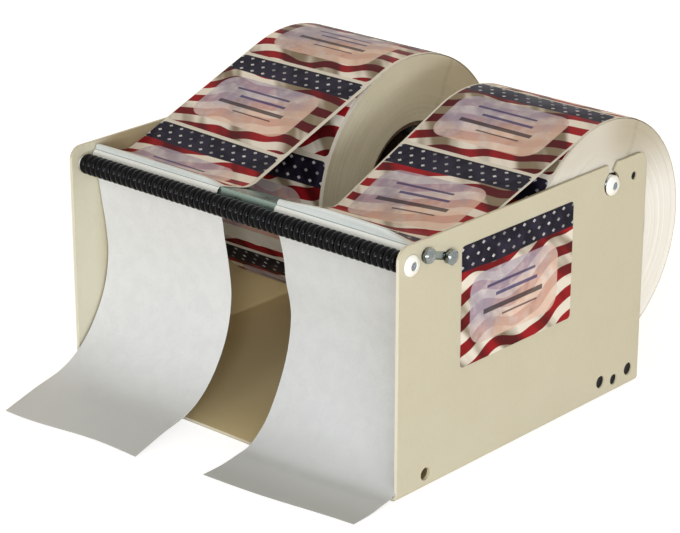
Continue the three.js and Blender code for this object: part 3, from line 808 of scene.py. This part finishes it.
# Bolts and lock washers

def hex_radius(angle):
    """Distance from the bolt head's middle to its side, with the hexagon's corners slightly rounded by wear.
    """
    turned_back = (math.degrees(angle) + 30) % 60 - 30
    to_side = BOLT_FLATS / 2 / math.cos(math.radians(turned_back))
    return min(to_side, BOLT_FLATS / math.sqrt(3) * 0.985)


def bar_point(run, up):
    """(y, z) of a place run back from the nose along the bar and up from its top."""
    return nose + bar_along * run + bar_up * up


def bar_bolt(side, end, spin):
    """A domed hex head with its shank in the bar's end."""
    sign = SIDES[side]
    run = BOLT_EDGE if end == "front" else BAR_WIDTH - BOLT_EDGE
    cy, cz = bar_point(run, -BAR_THICKNESS / 2)
    base = PLATE_OUTER + WASHER_THICKNESS + 0.1
    crown = 0.95 * BOLT_FLATS / 2
    bm = bmesh.new()
    rows = []

    def ring(radius_of, x_of):
        row = []
        for angle in (2 * math.pi * k / 72 for k in range(72)):
            radius = radius_of(angle)
            row.append((sign * (base + x_of(radius)), cy + radius * math.cos(angle + spin),
                        cz + radius * math.sin(angle + spin)))
        rows.append(row)

    def worn_corner(radius):
        return BOLT_TALL - 1.15 - max(radius - crown, 0) * math.tan(math.radians(30))

    ring(lambda a: BOLT_SHANK, lambda r: -BOLT_REACH)
    ring(lambda a: BOLT_SHANK, lambda r: 0.0)
    ring(lambda a: crown * 0.98, lambda r: 0.0)
    ring(lambda a: crown, lambda r: 0.12)
    ring(lambda a: hex_radius(a) * 0.97, lambda r: 0.14)
    ring(hex_radius, lambda r: 0.3)
    ring(hex_radius, worn_corner)
    for share, drop in ((0.97, 0.95), (0.90, 0.66), (0.79, 0.38), (0.66, 0.19), (0.50, 0.07), (0.30, 0.01)):
        ring(lambda a: crown * share, lambda r: BOLT_TALL - drop)
    ring(lambda a: crown * 0.1, lambda r: BOLT_TALL)
    add_loops(bm, rows)
    piece = place(bm, f"{side}_{end}_hex_bolt", bolt_steel, 28)
    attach(piece, "frame")
    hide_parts(f"{side}_{end}_bar_bolt")


def spring_washer(side, end, opening):
    """A split ring whose ends stand slightly apart; opening is the angle of the split."""
    sign = SIDES[side]
    run = BOLT_EDGE if end == "front" else BAR_WIDTH - BOLT_EDGE
    centre = bar_point(run, -BAR_THICKNESS / 2)
    near = sign * (PLATE_OUTER + 0.06)
    far = sign * (PLATE_OUTER + WASHER_THICKNESS - 0.08)
    corners = [(WASHER_INNER, near), (WASHER_OUTER, near), (WASHER_OUTER, far), (WASHER_INNER, far)]
    bm = bmesh.new()
    add_turned(bm, rounded(corners, 0.16, 2), centre, 60, True, opening + 6, 348, sign * WASHER_SPREAD)
    piece = place(bm, f"{side}_{end}_spring_washer", washer_steel, 40)
    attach(piece, "frame")
    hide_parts(f"{side}_{end}_lock_washer")


for side in SIDES:
    bar_bolt(side, "front", 0.35 + (0.2 if side == "left" else 0.0))
    bar_bolt(side, "rear", -0.12 + (0.3 if side == "left" else 0.0))
    spring_washer(side, "front", 118 if side == "right" else 40)
    spring_washer(side, "rear", 62 if side == "right" else 150)


# Front roller: a row of rubber rings on a steel shaft

roller_middle = middle_of("ribbed_roller")


def rubber_rings():
    """All rings in one piece, each with a rounded crest and a size and place slightly its own."""
    pitch = 2 * ROLLER_HALF / RIB_COUNT
    bore = JOURNAL_RADIUS + 0.1
    profile = [(bore, -ROLLER_HALF)]
    for rib in range(RIB_COUNT):
        start = -ROLLER_HALF + rib * pitch
        size = ROLLER_RADIUS - 0.01 - float(shuffle.uniform(0, 0.10))
        nudge = float(shuffle.uniform(-0.09, 0.09))
        for share in (0.02, 0.10, 0.20, 0.32, 0.44, 0.56, 0.68, 0.80, 0.90, 0.98):
            lean = abs(2 * share - 1)
            radius = size - RIB_DEPTH * (1 - math.sqrt(1 - lean ** 2))
            profile.append((radius, start + pitch * share + nudge * (1 - lean)))
    profile.append((bore, ROLLER_HALF))
    piece = turned_piece("rubber_ring_row", rubber, profile, roller_middle, 40, 60)
    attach(piece, "roller")
    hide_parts("ribbed_roller")


def turned_rod(name, node, profile, centre, body):
    """A ground steel rod that takes the place of a solid."""
    piece = turned_piece(name, rod_steel, profile, centre, 48, 30, ring=False)
    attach(piece, body)
    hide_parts(node)


def half_reach(node):
    """How far a solid reaches to the right, in millimetres."""
    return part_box(node)[1].x / MM


def shaft_profile(radius, half, ease=0.35):
    """A plain rod with eased ends and a small centre mark in each end."""
    return [(0, -half + 0.5), (0.5, -half), (radius - ease, -half), (radius, -half + ease),
            (radius, half - ease), (radius - ease, half), (0.5, half), (0, half - 0.5)]


rubber_rings()
turned_rod("roller_rod", "roller_shaft", shaft_profile(JOURNAL_RADIUS, half_reach("roller_shaft")),
           roller_middle, "roller")


# Nylon bushings and bearings

def button_profile(outer, tall, bore, face):
    """A button head seen from the side: eased rim, low dome and a bore with an eased mouth."""
    points = [(outer - 0.35, face), (outer, face + 0.3), (outer, face + 0.75)]
    for step in range(1, 11):
        angle = math.radians(9 * step)
        radius = outer * math.cos(angle) * 0.985
        if radius < bore + 0.25:
            break
        points.append((radius, face + 0.75 + (tall - 0.75) * math.sin(angle)))
    top = points[-1][1]
    points += [(bore + 0.12, top + 0.02), (bore, top - 0.2)]
    return points


def roller_bushing(side):
    """A button head outside the plate, with a round hub through it."""
    points = [(JOURNAL_BORE, -2.85), (4.3, -2.85), (4.55, -2.6), (4.55, 0.05),
              *button_profile(BUTTON_RADIUS, 2.6, JOURNAL_BORE, 0.06)]
    profile = [(radius, SIDES[side] * (PLATE_OUTER + x)) for radius, x in points]
    piece = turned_piece(f"{side}_shaft_bushing", nylon, profile, roller_middle, 64, 42)
    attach(piece, "frame")
    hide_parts(f"{side}_roller_bushing")


def spindle_bearing(side):
    """A button head outside the plate, and an oblong hub that fills the keyhole's neck."""
    sign = SIDES[side]
    cy, cz = middle_of("spindle_rod")
    points = [(JOURNAL_BORE, -0.4), (3.05, -0.4), (3.05, 0.06),
              *button_profile(BUTTON_RADIUS, 3.0, JOURNAL_BORE, 0.06)]
    profile = [(radius, sign * (PLATE_OUTER + x)) for radius, x in points]
    bm = bmesh.new()
    add_turned(bm, profile, (cy, cz), 64)
    half_wide, half_tall = 3.12, 6.27
    outline, inner = [], []
    for k in range(64):
        angle = 2 * math.pi * (k + 0.5) / 64
        y, z = math.cos(angle), math.sin(angle)
        outline.append((half_wide * y, half_wide * z + math.copysign(half_tall - half_wide, z)))
        inner.append((JOURNAL_BORE * y, JOURNAL_BORE * z))

    def ring(points, inset, x):
        return [(sign * (PLATE_OUTER + x), cy + y * (1 - inset), cz + z * (1 - inset)) for y, z in points]

    hub = [ring(inner, 0, -1.86), ring(outline, 0.05, -1.86), ring(outline, 0, -1.7), ring(outline, 0, 0.3),
           ring(inner, 0, 0.3)]
    add_loops(bm, hub, ring=True)
    piece = place(bm, f"{side}_rod_bearing", nylon, 42)
    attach(piece, "spindle_bearings")
    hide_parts(f"{side}_spindle_bearing")


def spindle():
    """The rod, with its ends turned down to journals."""
    half = half_reach("spindle_rod")
    shoulder = PLATE_INNER - 0.3
    right_half = [(SPINDLE_RADIUS, shoulder - 0.4), (2.9, shoulder), (JOURNAL_RADIUS, shoulder),
                  (JOURNAL_RADIUS, half - 0.35), (2.05, half), (0.5, half), (0, half - 0.5)]
    left_half = [(radius, -x) for radius, x in reversed(right_half)]
    turned_rod("turned_spindle", "spindle_rod", left_half + right_half, middle_of("spindle_rod"), "spindle")


for side in SIDES:
    roller_bushing(side)
    spindle_bearing(side)
spindle()


# Small holes towards the back: dark dished discs set back in the plates, painted shade inside the holes

SMALL_HOLES = {
    # place (y, z) and radius of the hole
    "first": ((75.5, 11.4), 4.0),
    "second": ((89.1, 8.8), 3.4),
    "third": ((103.9, 11.1), 4.0),
    "upper": ((101.2, 137.2), 2.6),
}


def hole_shade_plug(side, title):
    """A dark dished rubber disc behind the hole's outer edge, put there as painted shade inside the hole."""
    centre, radius = SMALL_HOLES[title]
    snug = radius - 0.06
    points = [(0.0, -1.75), (snug - 0.2, -1.75), (snug, -1.6), (snug, -0.95), (snug - 0.3, -0.8),
              (snug * 0.6, -0.95), (snug * 0.25, -1.05), (0.0, -1.08)]
    profile = [(reach, SIDES[side] * (PLATE_OUTER + x)) for reach, x in points]
    piece = turned_piece(f"{side}_{title}_hole_shade_plug", rubber, profile, centre, 40, 40, ring=False)
    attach(piece, "frame")


for side in SIDES:
    for title in SMALL_HOLES:
        hole_shade_plug(side, title)


# Web path from the nose to the roll and round it

HUMP_TABLE = [
    # distance, along and up on the raised path, along and up on the flat path
    (0.0, -0.42, -0.45, -0.42, -0.45), (1.0, -0.44, 0.70, 0.20, 0.24), (2.0, -0.30, 1.85, 1.25, 0.30),
    (3.0, 0.15, 2.70, 2.30, 0.30), (4.0, 1.00, 3.05, 3.30, 0.30), (6.0, 3.10, 2.85, 5.40, 0.30),
    (9.0, 6.60, 1.95, 8.50, 0.30), (13.0, 11.70, 0.90, 12.70, 0.30), (HUMP_END, 17.95, 0.30, 17.95, 0.30),
]
HUMP_HEIGHT = {
    "left": ([-128, -100, -60, -38, -32, -26, -22], [1.0, 1.02, 0.98, 0.95, 0.80, 0.20, -0.1]),
    "right": ([22, 30, 45, 60, 80, 100, 108, 115, 120, 128],
              [0.95, 1.1, 1.6, 1.95, 1.9, 1.75, 1.3, 0.5, 0.1, 0.0]),
}


class WebPath:
    """Where the web runs: off the nose, along the bar, up the valley, and once round its roll."""

    def __init__(self, side):
        self.side = side
        self.reach = ROLL_RADIUS[side] + WEB_LIFT
        taut, leaves = self.line_to_roll(VALLEY_RUN[side][1], VALLEY_RADIUS)
        self.tangent_run = float(np.sum(np.linalg.norm(np.diff(taut, axis=0), axis=1)))
        turns = np.linspace(0, 2 * math.pi, 241)[1:]
        radii = self.reach - 0.38 * turns / (2 * math.pi)
        wrap = roll_centre + radii[:, None] * np.stack([np.cos(leaves - turns), np.sin(leaves - turns)], 1)
        wrap_runs = self.tangent_run + np.cumsum(radii * turns[0])
        self.last_run = float(wrap_runs[-1])
        middle = SIDES[side] * WEB_MIDDLE
        self.columns = np.linspace(middle - WEB_WIDTH / 2 - 2, middle + WEB_WIDTH / 2 + 2, 29)
        self.runs = np.linspace(0, self.last_run, int(self.last_run / 0.5))
        table = []
        for share in np.linspace(0, 1, len(self.columns)):
            valley_run = VALLEY_RUN[side][0] * (1 - share) + VALLEY_RUN[side][1] * share
            radius = VALLEY_RADIUS - 0.35 * abs(valley_run - VALLEY_RUN["left"][0])
            line, _ = self.line_to_roll(valley_run, radius, leaves)
            gone = np.concatenate([[0], np.cumsum(np.linalg.norm(np.diff(line, axis=0), axis=1))])
            ease = (self.tangent_run - HUMP_END) / (gone[-1] - HUMP_END)
            gone = np.where(gone > HUMP_END, HUMP_END + (gone - HUMP_END) * ease, gone)
            line, gone = np.concatenate([line, wrap]), np.concatenate([gone, wrap_runs])
            table.append(np.stack([np.interp(self.runs, gone, line[:, k]) for k in (0, 1)], 1))
        self.table = np.array(table)
        hump, _ = through(HUMP_TABLE, 200)
        self.hump = hump[np.argsort(hump[:, 0])]

    def line_to_roll(self, valley_run, radius, leaves=None):
        """(y, z) points from the nose to where the web first touches the roll, and that angle."""
        start = bar_point(0, WEB_LIFT)
        valley = start + bar_along * valley_run
        to_roll = roll_centre - valley
        distance = np.hypot(*to_roll)
        climb = math.atan2(to_roll[1], to_roll[0]) + math.asin(self.reach / distance)
        touch = climb + math.pi / 2
        end = roll_centre + self.reach * np.array([math.cos(touch), math.sin(touch)])
        bend = climb + slope
        flat = valley_run - radius * math.tan(bend / 2)
        bend_start = start + bar_along * flat
        centre = bend_start + bar_up * radius
        points = [bar_point(0, 0.3), bar_point(flat - 4, 0.3), bend_start]
        for angle in np.linspace(-slope, climb, 17)[1:]:
            points.append(centre + radius * np.array([math.sin(angle), -math.cos(angle)]))
        foot = points[-1]
        points += [foot + (end - foot) * t for t in np.linspace(0, 1, 30)[1:]]
        if leaves is not None and touch - leaves > 1e-4:
            points += [roll_centre + self.reach * np.array([math.cos(a), math.sin(a)])
                       for a in np.linspace(touch, leaves, 12)[1:]]
        return np.array(points), touch

    def height_share(self, x):
        """How high the raised edge stands at a place across the bar, smoothed over 8 mm."""
        places, shares = HUMP_HEIGHT[self.side]
        return np.mean([np.interp(x + s, places, shares) for s in np.linspace(-4, 4, 9)], axis=0)

    def at(self, run, x):
        """(x, y, z) of the liner's middle for arrays of run and x."""
        run, x = np.broadcast_arrays(np.asarray(run, float), np.asarray(x, float))
        down = np.clip(run / self.runs[1], 0, len(self.runs) - 1.001)
        over = (x - self.columns[0]) / (self.columns[1] - self.columns[0])
        over = np.clip(over, 0, len(self.columns) - 1.001)
        i, j = over.astype(int), down.astype(int)
        a, b = (over - i)[..., None], (down - j)[..., None]
        spot = ((1 - a) * ((1 - b) * self.table[i, j] + b * self.table[i, j + 1])
                + a * ((1 - b) * self.table[i + 1, j] + b * self.table[i + 1, j + 1]))
        share = self.height_share(x)
        raised_a, raised_u, flat_a, flat_u = (
            np.interp(run, self.hump[:, 0], self.hump[:, k]) for k in (1, 2, 3, 4))
        along = flat_a + (raised_a - flat_a) * np.minimum(share, 1.3)
        up = flat_u + (raised_u - flat_u) * share
        on_hump = nose + along[..., None] * bar_along + up[..., None] * bar_up
        spot = np.where((run < HUMP_END)[..., None], on_hump, spot)
        return np.stack([x, spot[..., 0], spot[..., 1]], -1)


def web_runs(low, high, path):
    """Distances along the web, closer together at the nose, in the valley and on the roll."""
    marks = [low]
    while marks[-1] < high - 1e-6:
        here = marks[-1]
        step = 0.25 if here < 5 else 1.0 if here < 40 else 4.0 if here < path.tangent_run else 2.5
        marks.append(min(here + step, high))
    if len(marks) > 2 and marks[-1] - marks[-2] < 0.1:
        del marks[-2]
    return np.array(marks)


def web_skin(path, low, high):
    """Points, normals and facts of a strip of the web between two distances."""
    runs = web_runs(low, high, path)
    across = np.linspace(-WEB_WIDTH / 2, WEB_WIDTH / 2, 40)
    run_grid, across_grid = np.meshgrid(runs, across, indexing="ij")
    points = path.at(run_grid, SIDES[path.side] * WEB_MIDDLE + across_grid)
    return points, outward(points), run_grid, across_grid


def outward(points):
    """Unit normals of a part of the web, up from the bar and away from the roll."""
    normals = grid_normals(points)
    from_roll = points * np.array([0, 1, 1]) - np.array([0, *ROLL_CENTRE])
    away = np.where((points[..., 1] < 0)[..., None], np.array([0, -0.3, 1.0]), from_roll)
    return np.where((np.sum(normals * away, axis=-1) < 0)[..., None], -normals, normals)


def liner_strip(name, path, low, high, lift):
    """The release liner between two distances along the web."""
    middle, normals, runs, across = web_skin(path, low, high)
    return sheet_mesh(name, middle + normals * lift, normals, LINER_THICKNESS, liner_face,
                      {"run": runs, "across": across})


def label_spans(path, low, high):
    """(number, front, rear, cut front, cut rear) of every label between two distances."""
    spans = []
    gap = FIRST_GAP[path.side]
    first = gap - (LABEL_PITCH - LABEL_LENGTH) / 2 - LABEL_LENGTH
    k = -1
    while first + k * LABEL_PITCH < high:
        front = first + k * LABEL_PITCH
        rear = front + LABEL_LENGTH
        if rear > low + 1 and front < high - 1:
            spans.append((k, front, rear, max(front, low), min(rear, high)))
        k += 1
    return spans


def label_row(name, path, low, high, lift):
    """The labels on the liner between two distances, as one piece of separate thin sheets."""
    made = []
    half = LABEL_WIDTH / 2
    skew = LABEL_SKEW[path.side]
    for k, front, rear, cut_front, cut_rear in label_spans(path, low, high):
        whole_front = abs(cut_front - front) < 1e-6
        whole_rear = abs(cut_rear - rear) < 1e-6
        marks = web_runs(cut_front, cut_rear, path)
        corner = [0.0, *CORNER_STEPS, LABEL_CORNER]
        extra = []
        if whole_front:
            extra += [front + c for c in corner]
        if whole_rear:
            extra += [rear - c for c in corner]
        marks = np.unique(np.round(np.concatenate([marks, extra]), 3))
        marks = marks[(marks >= cut_front - 0.001) & (marks <= cut_rear + 0.001)]
        keep = [marks[0]]
        for m in marks[1:]:
            if m - keep[-1] > 0.1:
                keep.append(m)
        if keep[-1] != marks[-1]:
            keep[-1] = marks[-1]
        marks = np.array(keep)
        width = np.full(len(marks), half)
        for i, m in enumerate(marks):
            short = 1e9
            if whole_front:
                short = min(short, m - front)
            if whole_rear:
                short = min(short, rear - m)
            if short < LABEL_CORNER:
                into_corner = max(LABEL_CORNER ** 2 - (LABEL_CORNER - short) ** 2, 0)
                width[i] = half - LABEL_CORNER + math.sqrt(into_corner)
        across = np.linspace(-1, 1, 44)
        run_grid, share = np.meshgrid(marks, across, indexing="ij")
        across_grid = share * width[:, None]
        fade = np.clip(1 - np.abs(run_grid - SKEW_AT[path.side]) / 60, 0, 1)
        inside = np.clip(np.minimum(run_grid - low, high - run_grid) / 6, 0, 1)
        run_laid = run_grid + skew * across_grid * fade * inside
        points = path.at(run_laid, SIDES[path.side] * WEB_MIDDLE + LABEL_SHIFT[path.side] + across_grid)
        normals = outward(points)
        facts = {
            "across": across_grid,
            "up": run_grid - front,
            "seed": np.full(run_grid.shape, 1.7 * (k + 2) + (0 if path.side == "left" else 0.6)),
        }
        middle = points + normals * lift
        made.append(sheet_mesh(f"{name}_{k}", middle, normals, LABEL_THICKNESS, label_face, facts))
    with bpy.context.temp_override(active_object=made[0], selected_editable_objects=made):
        bpy.ops.object.join()
    made[0].name = name
    made[0].data.name = name
    return made[0]


def label_webs(side):
    """The web from the nose to its roll, and one turn of it round the roll."""
    path = WebPath(side)
    end = path.tangent_run
    on_liner = (LINER_THICKNESS + LABEL_THICKNESS) / 2 + 0.01
    web = liner_strip(f"{side}_web_liner", path, 0.0, end + 0.8, 0.02)
    labels = label_row(f"{side}_web_labels", path, 7.0, end + 0.8, on_liner + 0.03)
    for piece in (web, labels):
        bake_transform(piece)
        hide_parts(f"{side}_label_web")
    wrap = liner_strip(f"{side}_wrap_liner", path, end, path.last_run, 0.0)
    wrap_labels = label_row(f"{side}_wrap_labels", path, end, path.last_run, on_liner)
    for piece in (wrap, wrap_labels):
        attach(piece, f"{side}_roll")


# Rolls and cores

def core_tube(side):
    """The cardboard core, set back a little from the roll's sides."""
    half = WEB_WIDTH / 2 - CORE_SET_BACK
    middle_x = SIDES[side] * WEB_MIDDLE
    section = rounded([(CORE_BORE, middle_x - half), (CORE_OUTER, middle_x - half),
                       (CORE_OUTER, middle_x + half), (CORE_BORE, middle_x + half)], 0.5, 3)
    piece = turned_piece(f"{side}_paper_core", board, section, ROLL_CENTRE, 160, 40)
    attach(piece, f"{side}_roll")
    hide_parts(f"{side}_core")


def wound_roll(side):
    """The turns below the outermost one; their edges drift a little from side to side."""
    half = WEB_WIDTH / 2
    middle_x = SIDES[side] * WEB_MIDDLE
    inner, outer = CORE_OUTER + 0.12, ROLL_RADIUS[side] - 0.05
    count = 46
    radii = np.linspace(inner, outer, count)
    drift = np.cumsum(shuffle.normal(0, 0.05, count))
    drift = np.clip(drift - drift.mean(), -0.22, 0.22)
    jitter = shuffle.uniform(-0.05, 0.05, count)
    right_face = [(float(r), middle_x + half - 0.3 + float(d + j)) for r, d, j in zip(radii, drift, jitter)]
    left_face = [(float(r), middle_x - half + 0.3 + float(d - j)) for r, d, j in zip(radii, drift, jitter)]
    profile = right_face + left_face[::-1]
    piece = turned_piece(f"{side}_wound_stock", wound[side], profile, ROLL_CENTRE, 192, 50)
    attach(piece, f"{side}_roll")
    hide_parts(f"{side}_label_roll")


for side in SIDES:
    core_tube(side)
    wound_roll(side)
    label_webs(side)


# Liner tails that hang in front

TAIL_LINES = {
    "left": [(-93.4, 125.1), (-91.9, 114.8), (-88.9, 96.0), (-87.5, 75.0), (-92.0, 53.4), (-101.8, 34.7),
             (-114.4, 20.8), (-129.0, 12.3), (-148.8, 7.4), (-163.0, 3.4), (-173.0, 0.5)],
    "right": [(-93.0, 125.0), (-89.4, 110.1), (-88.1, 98.1), (-84.5, 81.8), (-83.9, 70.7), (-86.3, 55.1),
              (-90.9, 41.3), (-98.4, 26.0), (-106.7, 14.1), (-118.6, 5.0), (-130.2, 2.5), (-141.8, 0.9),
              (-156.0, 0.5)],
}
# along the bar and up from its top: how the liner bulges forward under the nose
TAIL_LEAD = [(-0.42, -0.45), (-1.35, -1.5), (-1.9, -3.0), (-1.7, -4.7), (-0.85, -6.7)]
# lean across the tail, wave's size, pitch and start, and drift to the right
TAIL_SWAY = {"left": (3.6, 1.8, 3.1, 0.5, 2.4), "right": (5.0, 1.0, 2.6, -0.8, 2.6)}
TAIL_THICKNESS = 0.18


def hanging_liner(side):
    """The liner from the nose crease down the bar's face, past the roller and out on to the table."""
    lead = [tuple(bar_point(along, up)) for along, up in TAIL_LEAD]
    line, length = through([*lead, *TAIL_LINES[side]], 150)
    middle_x = SIDES[side] * WEB_MIDDLE
    columns = 44
    across = np.linspace(-1, 1, columns)
    gone = np.linspace(0, 1, len(line))
    share, tilt = np.meshgrid(gone, across, indexing="ij")
    loose = np.clip((share - 0.12) / 0.88, 0, 1)
    y = np.repeat(line[:, :1], columns, 1)
    z = np.repeat(line[:, 1:], columns, 1)
    x = middle_x + tilt * WEB_WIDTH / 2
    lean, wave, pitch, start, drift = TAIL_SWAY[side]
    y = y + loose ** 2 * (lean * tilt + wave * np.sin(tilt * pitch + start))
    x = x + loose ** 1.5 * drift
    ripple = 0.35 * np.sin(tilt * 5.2 + share * 6.0) * loose * np.sin(np.pi * np.clip(share * 1.15, 0, 1))
    z = np.maximum(z + ripple * 0.4, 0.30)
    y = y + ripple
    points = np.stack([x, y, z], -1)
    normals = grid_normals(points)
    if normals[len(line) // 2, columns // 2] @ np.array([0, -1.0, 0.3]) < 0:
        normals = -normals
    runs = -share * length
    piece = sheet_mesh(f"{side}_hanging_liner", points, normals, TAIL_THICKNESS, tail_face[side],
                       {"run": runs, "across": tilt * WEB_WIDTH / 2})
    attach(piece, "frame")
    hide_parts(f"{side}_liner_tail")
    return length


tail_lengths = {side: hanging_liner(side) for side in SIDES}


# Sample label on the right side plate

def sample_label():
    """The label on the plate, with faint puffs where it was smoothed down."""
    low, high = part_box("side_sample_label")
    wide, tall = (high.y - low.y) / MM, (high.z - low.z) / MM
    cy, cz = (high.y + low.y) / 2 / MM, (high.z + low.z) / 2 / MM
    across = np.linspace(-1, 1, 60)
    near = np.array(SAMPLE_CORNER_STEPS)
    marks = np.unique(np.round(np.concatenate([np.linspace(0, tall, 50), near, tall - near]), 3))
    into_corner = np.clip(SAMPLE_CORNER - np.minimum(marks, tall - marks), 0, SAMPLE_CORNER)
    width = wide / 2 - SAMPLE_CORNER + np.sqrt(SAMPLE_CORNER ** 2 - into_corner ** 2)
    up, share = np.meshgrid(marks, across, indexing="ij")
    over = share * width[:, None]
    puff = 0.05 * np.sin(over * 0.11 + 1.0) * np.sin(up * 0.13) + 0.03 * np.sin(over * 0.31 + up * 0.21)
    to_rim = np.clip((wide / 2 - np.abs(over)) / 12, 0, 1) * np.clip(np.minimum(up, tall - up) / 12, 0, 1)
    puff = puff * to_rim
    points = np.stack([PLATE_OUTER + 0.16 + np.abs(puff) * 0.6, cy + over, cz - tall / 2 + up], -1)
    normals = np.zeros_like(points)
    normals[..., 0] = 1
    facts = {"across": over, "up": up * LABEL_LENGTH / tall, "seed": np.full(up.shape, 9.4)}
    piece = sheet_mesh("side_sample_print", points, normals, SAMPLE_THICKNESS, label_face, facts)
    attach(piece, "frame")
    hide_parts("side_sample_label")


sample_label()


# Studio

def studio_floor():
    """A pale floor that takes the shadow; behind the machine it merges with the backdrop."""
    bm = bmesh.new()
    bmesh.ops.create_grid(bm, x_segments=2, y_segments=2, size=12.0)
    made, w, shader = new_finish("studio floor", Specular_IOR_Level=0.0, Roughness=0.9, Emission_Strength=1.0)
    seen = w.seen_at_once()
    w.feed(shader["Base Color"], w.mix(seen, (0.82, 0.75, 0.60), (0.42, 0.42, 0.42)))
    w.feed(shader["Emission Color"], w.mix(seen, (0.0, 0.0, 0.0), (0.80, 0.80, 0.80)))
    floor = place(bm, "studio_floor", made)


LAMPS = [
    # name, azimuth from the front, height, distance, width, height of its face, power, tint, glints
    ("low side softbox", 60.0, 0.17, 2.0, 1.2, 0.28, 15.4, (0.88, 0.94, 1.0), True),
    ("front softbox", 16.0, 0.62, 2.13, 0.6, 1.4, 7.9, (0.88, 0.94, 1.0), True),
    ("strip light beside the camera", 38.0, 0.80, 2.13, 0.2, 1.4, 14.5, (0.94, 0.96, 1.0), True),
    ("back fill", 225.0, 1.1, 2.2, 1.4, 1.0, 24.0, (1.0, 0.86, 0.66), False),
]


def soft_lamp(name, azimuth, height, away, wide, tall, power, tint, glints):
    """A softbox turned to the middle of the machine, seen in reflections only if it glints."""
    target = Vector((0.0, 0.0, 0.09))
    spot = Vector((away * math.sin(math.radians(azimuth)), -away * math.cos(math.radians(azimuth)), height))
    lamp = bpy.data.lights.new(name, "AREA")
    lamp.color = tint
    lamp.shape = "RECTANGLE"
    lamp.size, lamp.size_y = wide, tall
    lamp.energy = power
    holder = bpy.data.objects.new(name, lamp)
    holder.location = spot
    holder.rotation_mode = "QUATERNION"
    holder.rotation_quaternion = (target - spot).to_track_quat("-Z", "Y")
    holder.visible_camera = False
    holder.visible_glossy = glints
    bpy.context.scene.collection.objects.link(holder)


def sky():
    """Warm light from all round, and a white backdrop where it is seen or reflected."""
    world = bpy.data.worlds.new("studio")
    bpy.context.scene.world = world
    world.use_nodes = True
    w = Wiring(world.node_tree)
    world.node_tree.nodes.clear()
    seen = w.seen_at_once()
    lighting = w.node("ShaderNodeBackground", {"Color": (1.0, 0.88, 0.68), "Strength": 0.43})
    backdrop = w.node("ShaderNodeBackground", {"Color": (1.0, 1.0, 1.0), "Strength": 1.0})
    both = w.node("ShaderNodeMixShader", {0: seen, 1: lighting.outputs[0], 2: backdrop.outputs[0]})
    w.node("ShaderNodeOutputWorld", {"Surface": both.outputs[0]})


CAMERA_PLACE = (0.93107, -1.05637, 0.61662)
CAMERA_TURN = (41.826, 21.052, 0.056)
FOCAL_PIXELS = 2477.94
PICTURE_WIDTH = 680


def camera():
    """The camera that the frame's corners in the photograph give; its turn is azimuth, elevation, roll."""
    azimuth, elevation, roll = (math.radians(angle) for angle in CAMERA_TURN)
    lens = bpy.data.cameras.new("camera")
    lens.sensor_width = 36.0
    lens.lens = FOCAL_PIXELS * lens.sensor_width / PICTURE_WIDTH
    lens.clip_start, lens.clip_end = 0.05, 50.0
    holder = bpy.data.objects.new("camera", lens)
    bpy.context.scene.collection.objects.link(holder)
    back = Vector((math.sin(azimuth) * math.cos(elevation), -math.cos(azimuth) * math.cos(elevation),
                   math.sin(elevation)))
    holder.location = CAMERA_PLACE
    holder.rotation_mode = "QUATERNION"
    level = (-back).to_track_quat("-Z", "Y")
    holder.rotation_quaternion = Quaternion(back, roll) @ level
    bpy.context.scene.camera = holder


studio_floor()
sky()
for lamp in LAMPS:
    soft_lamp(*lamp)
camera()
bpy.context.scene.view_settings.view_transform = "Standard"
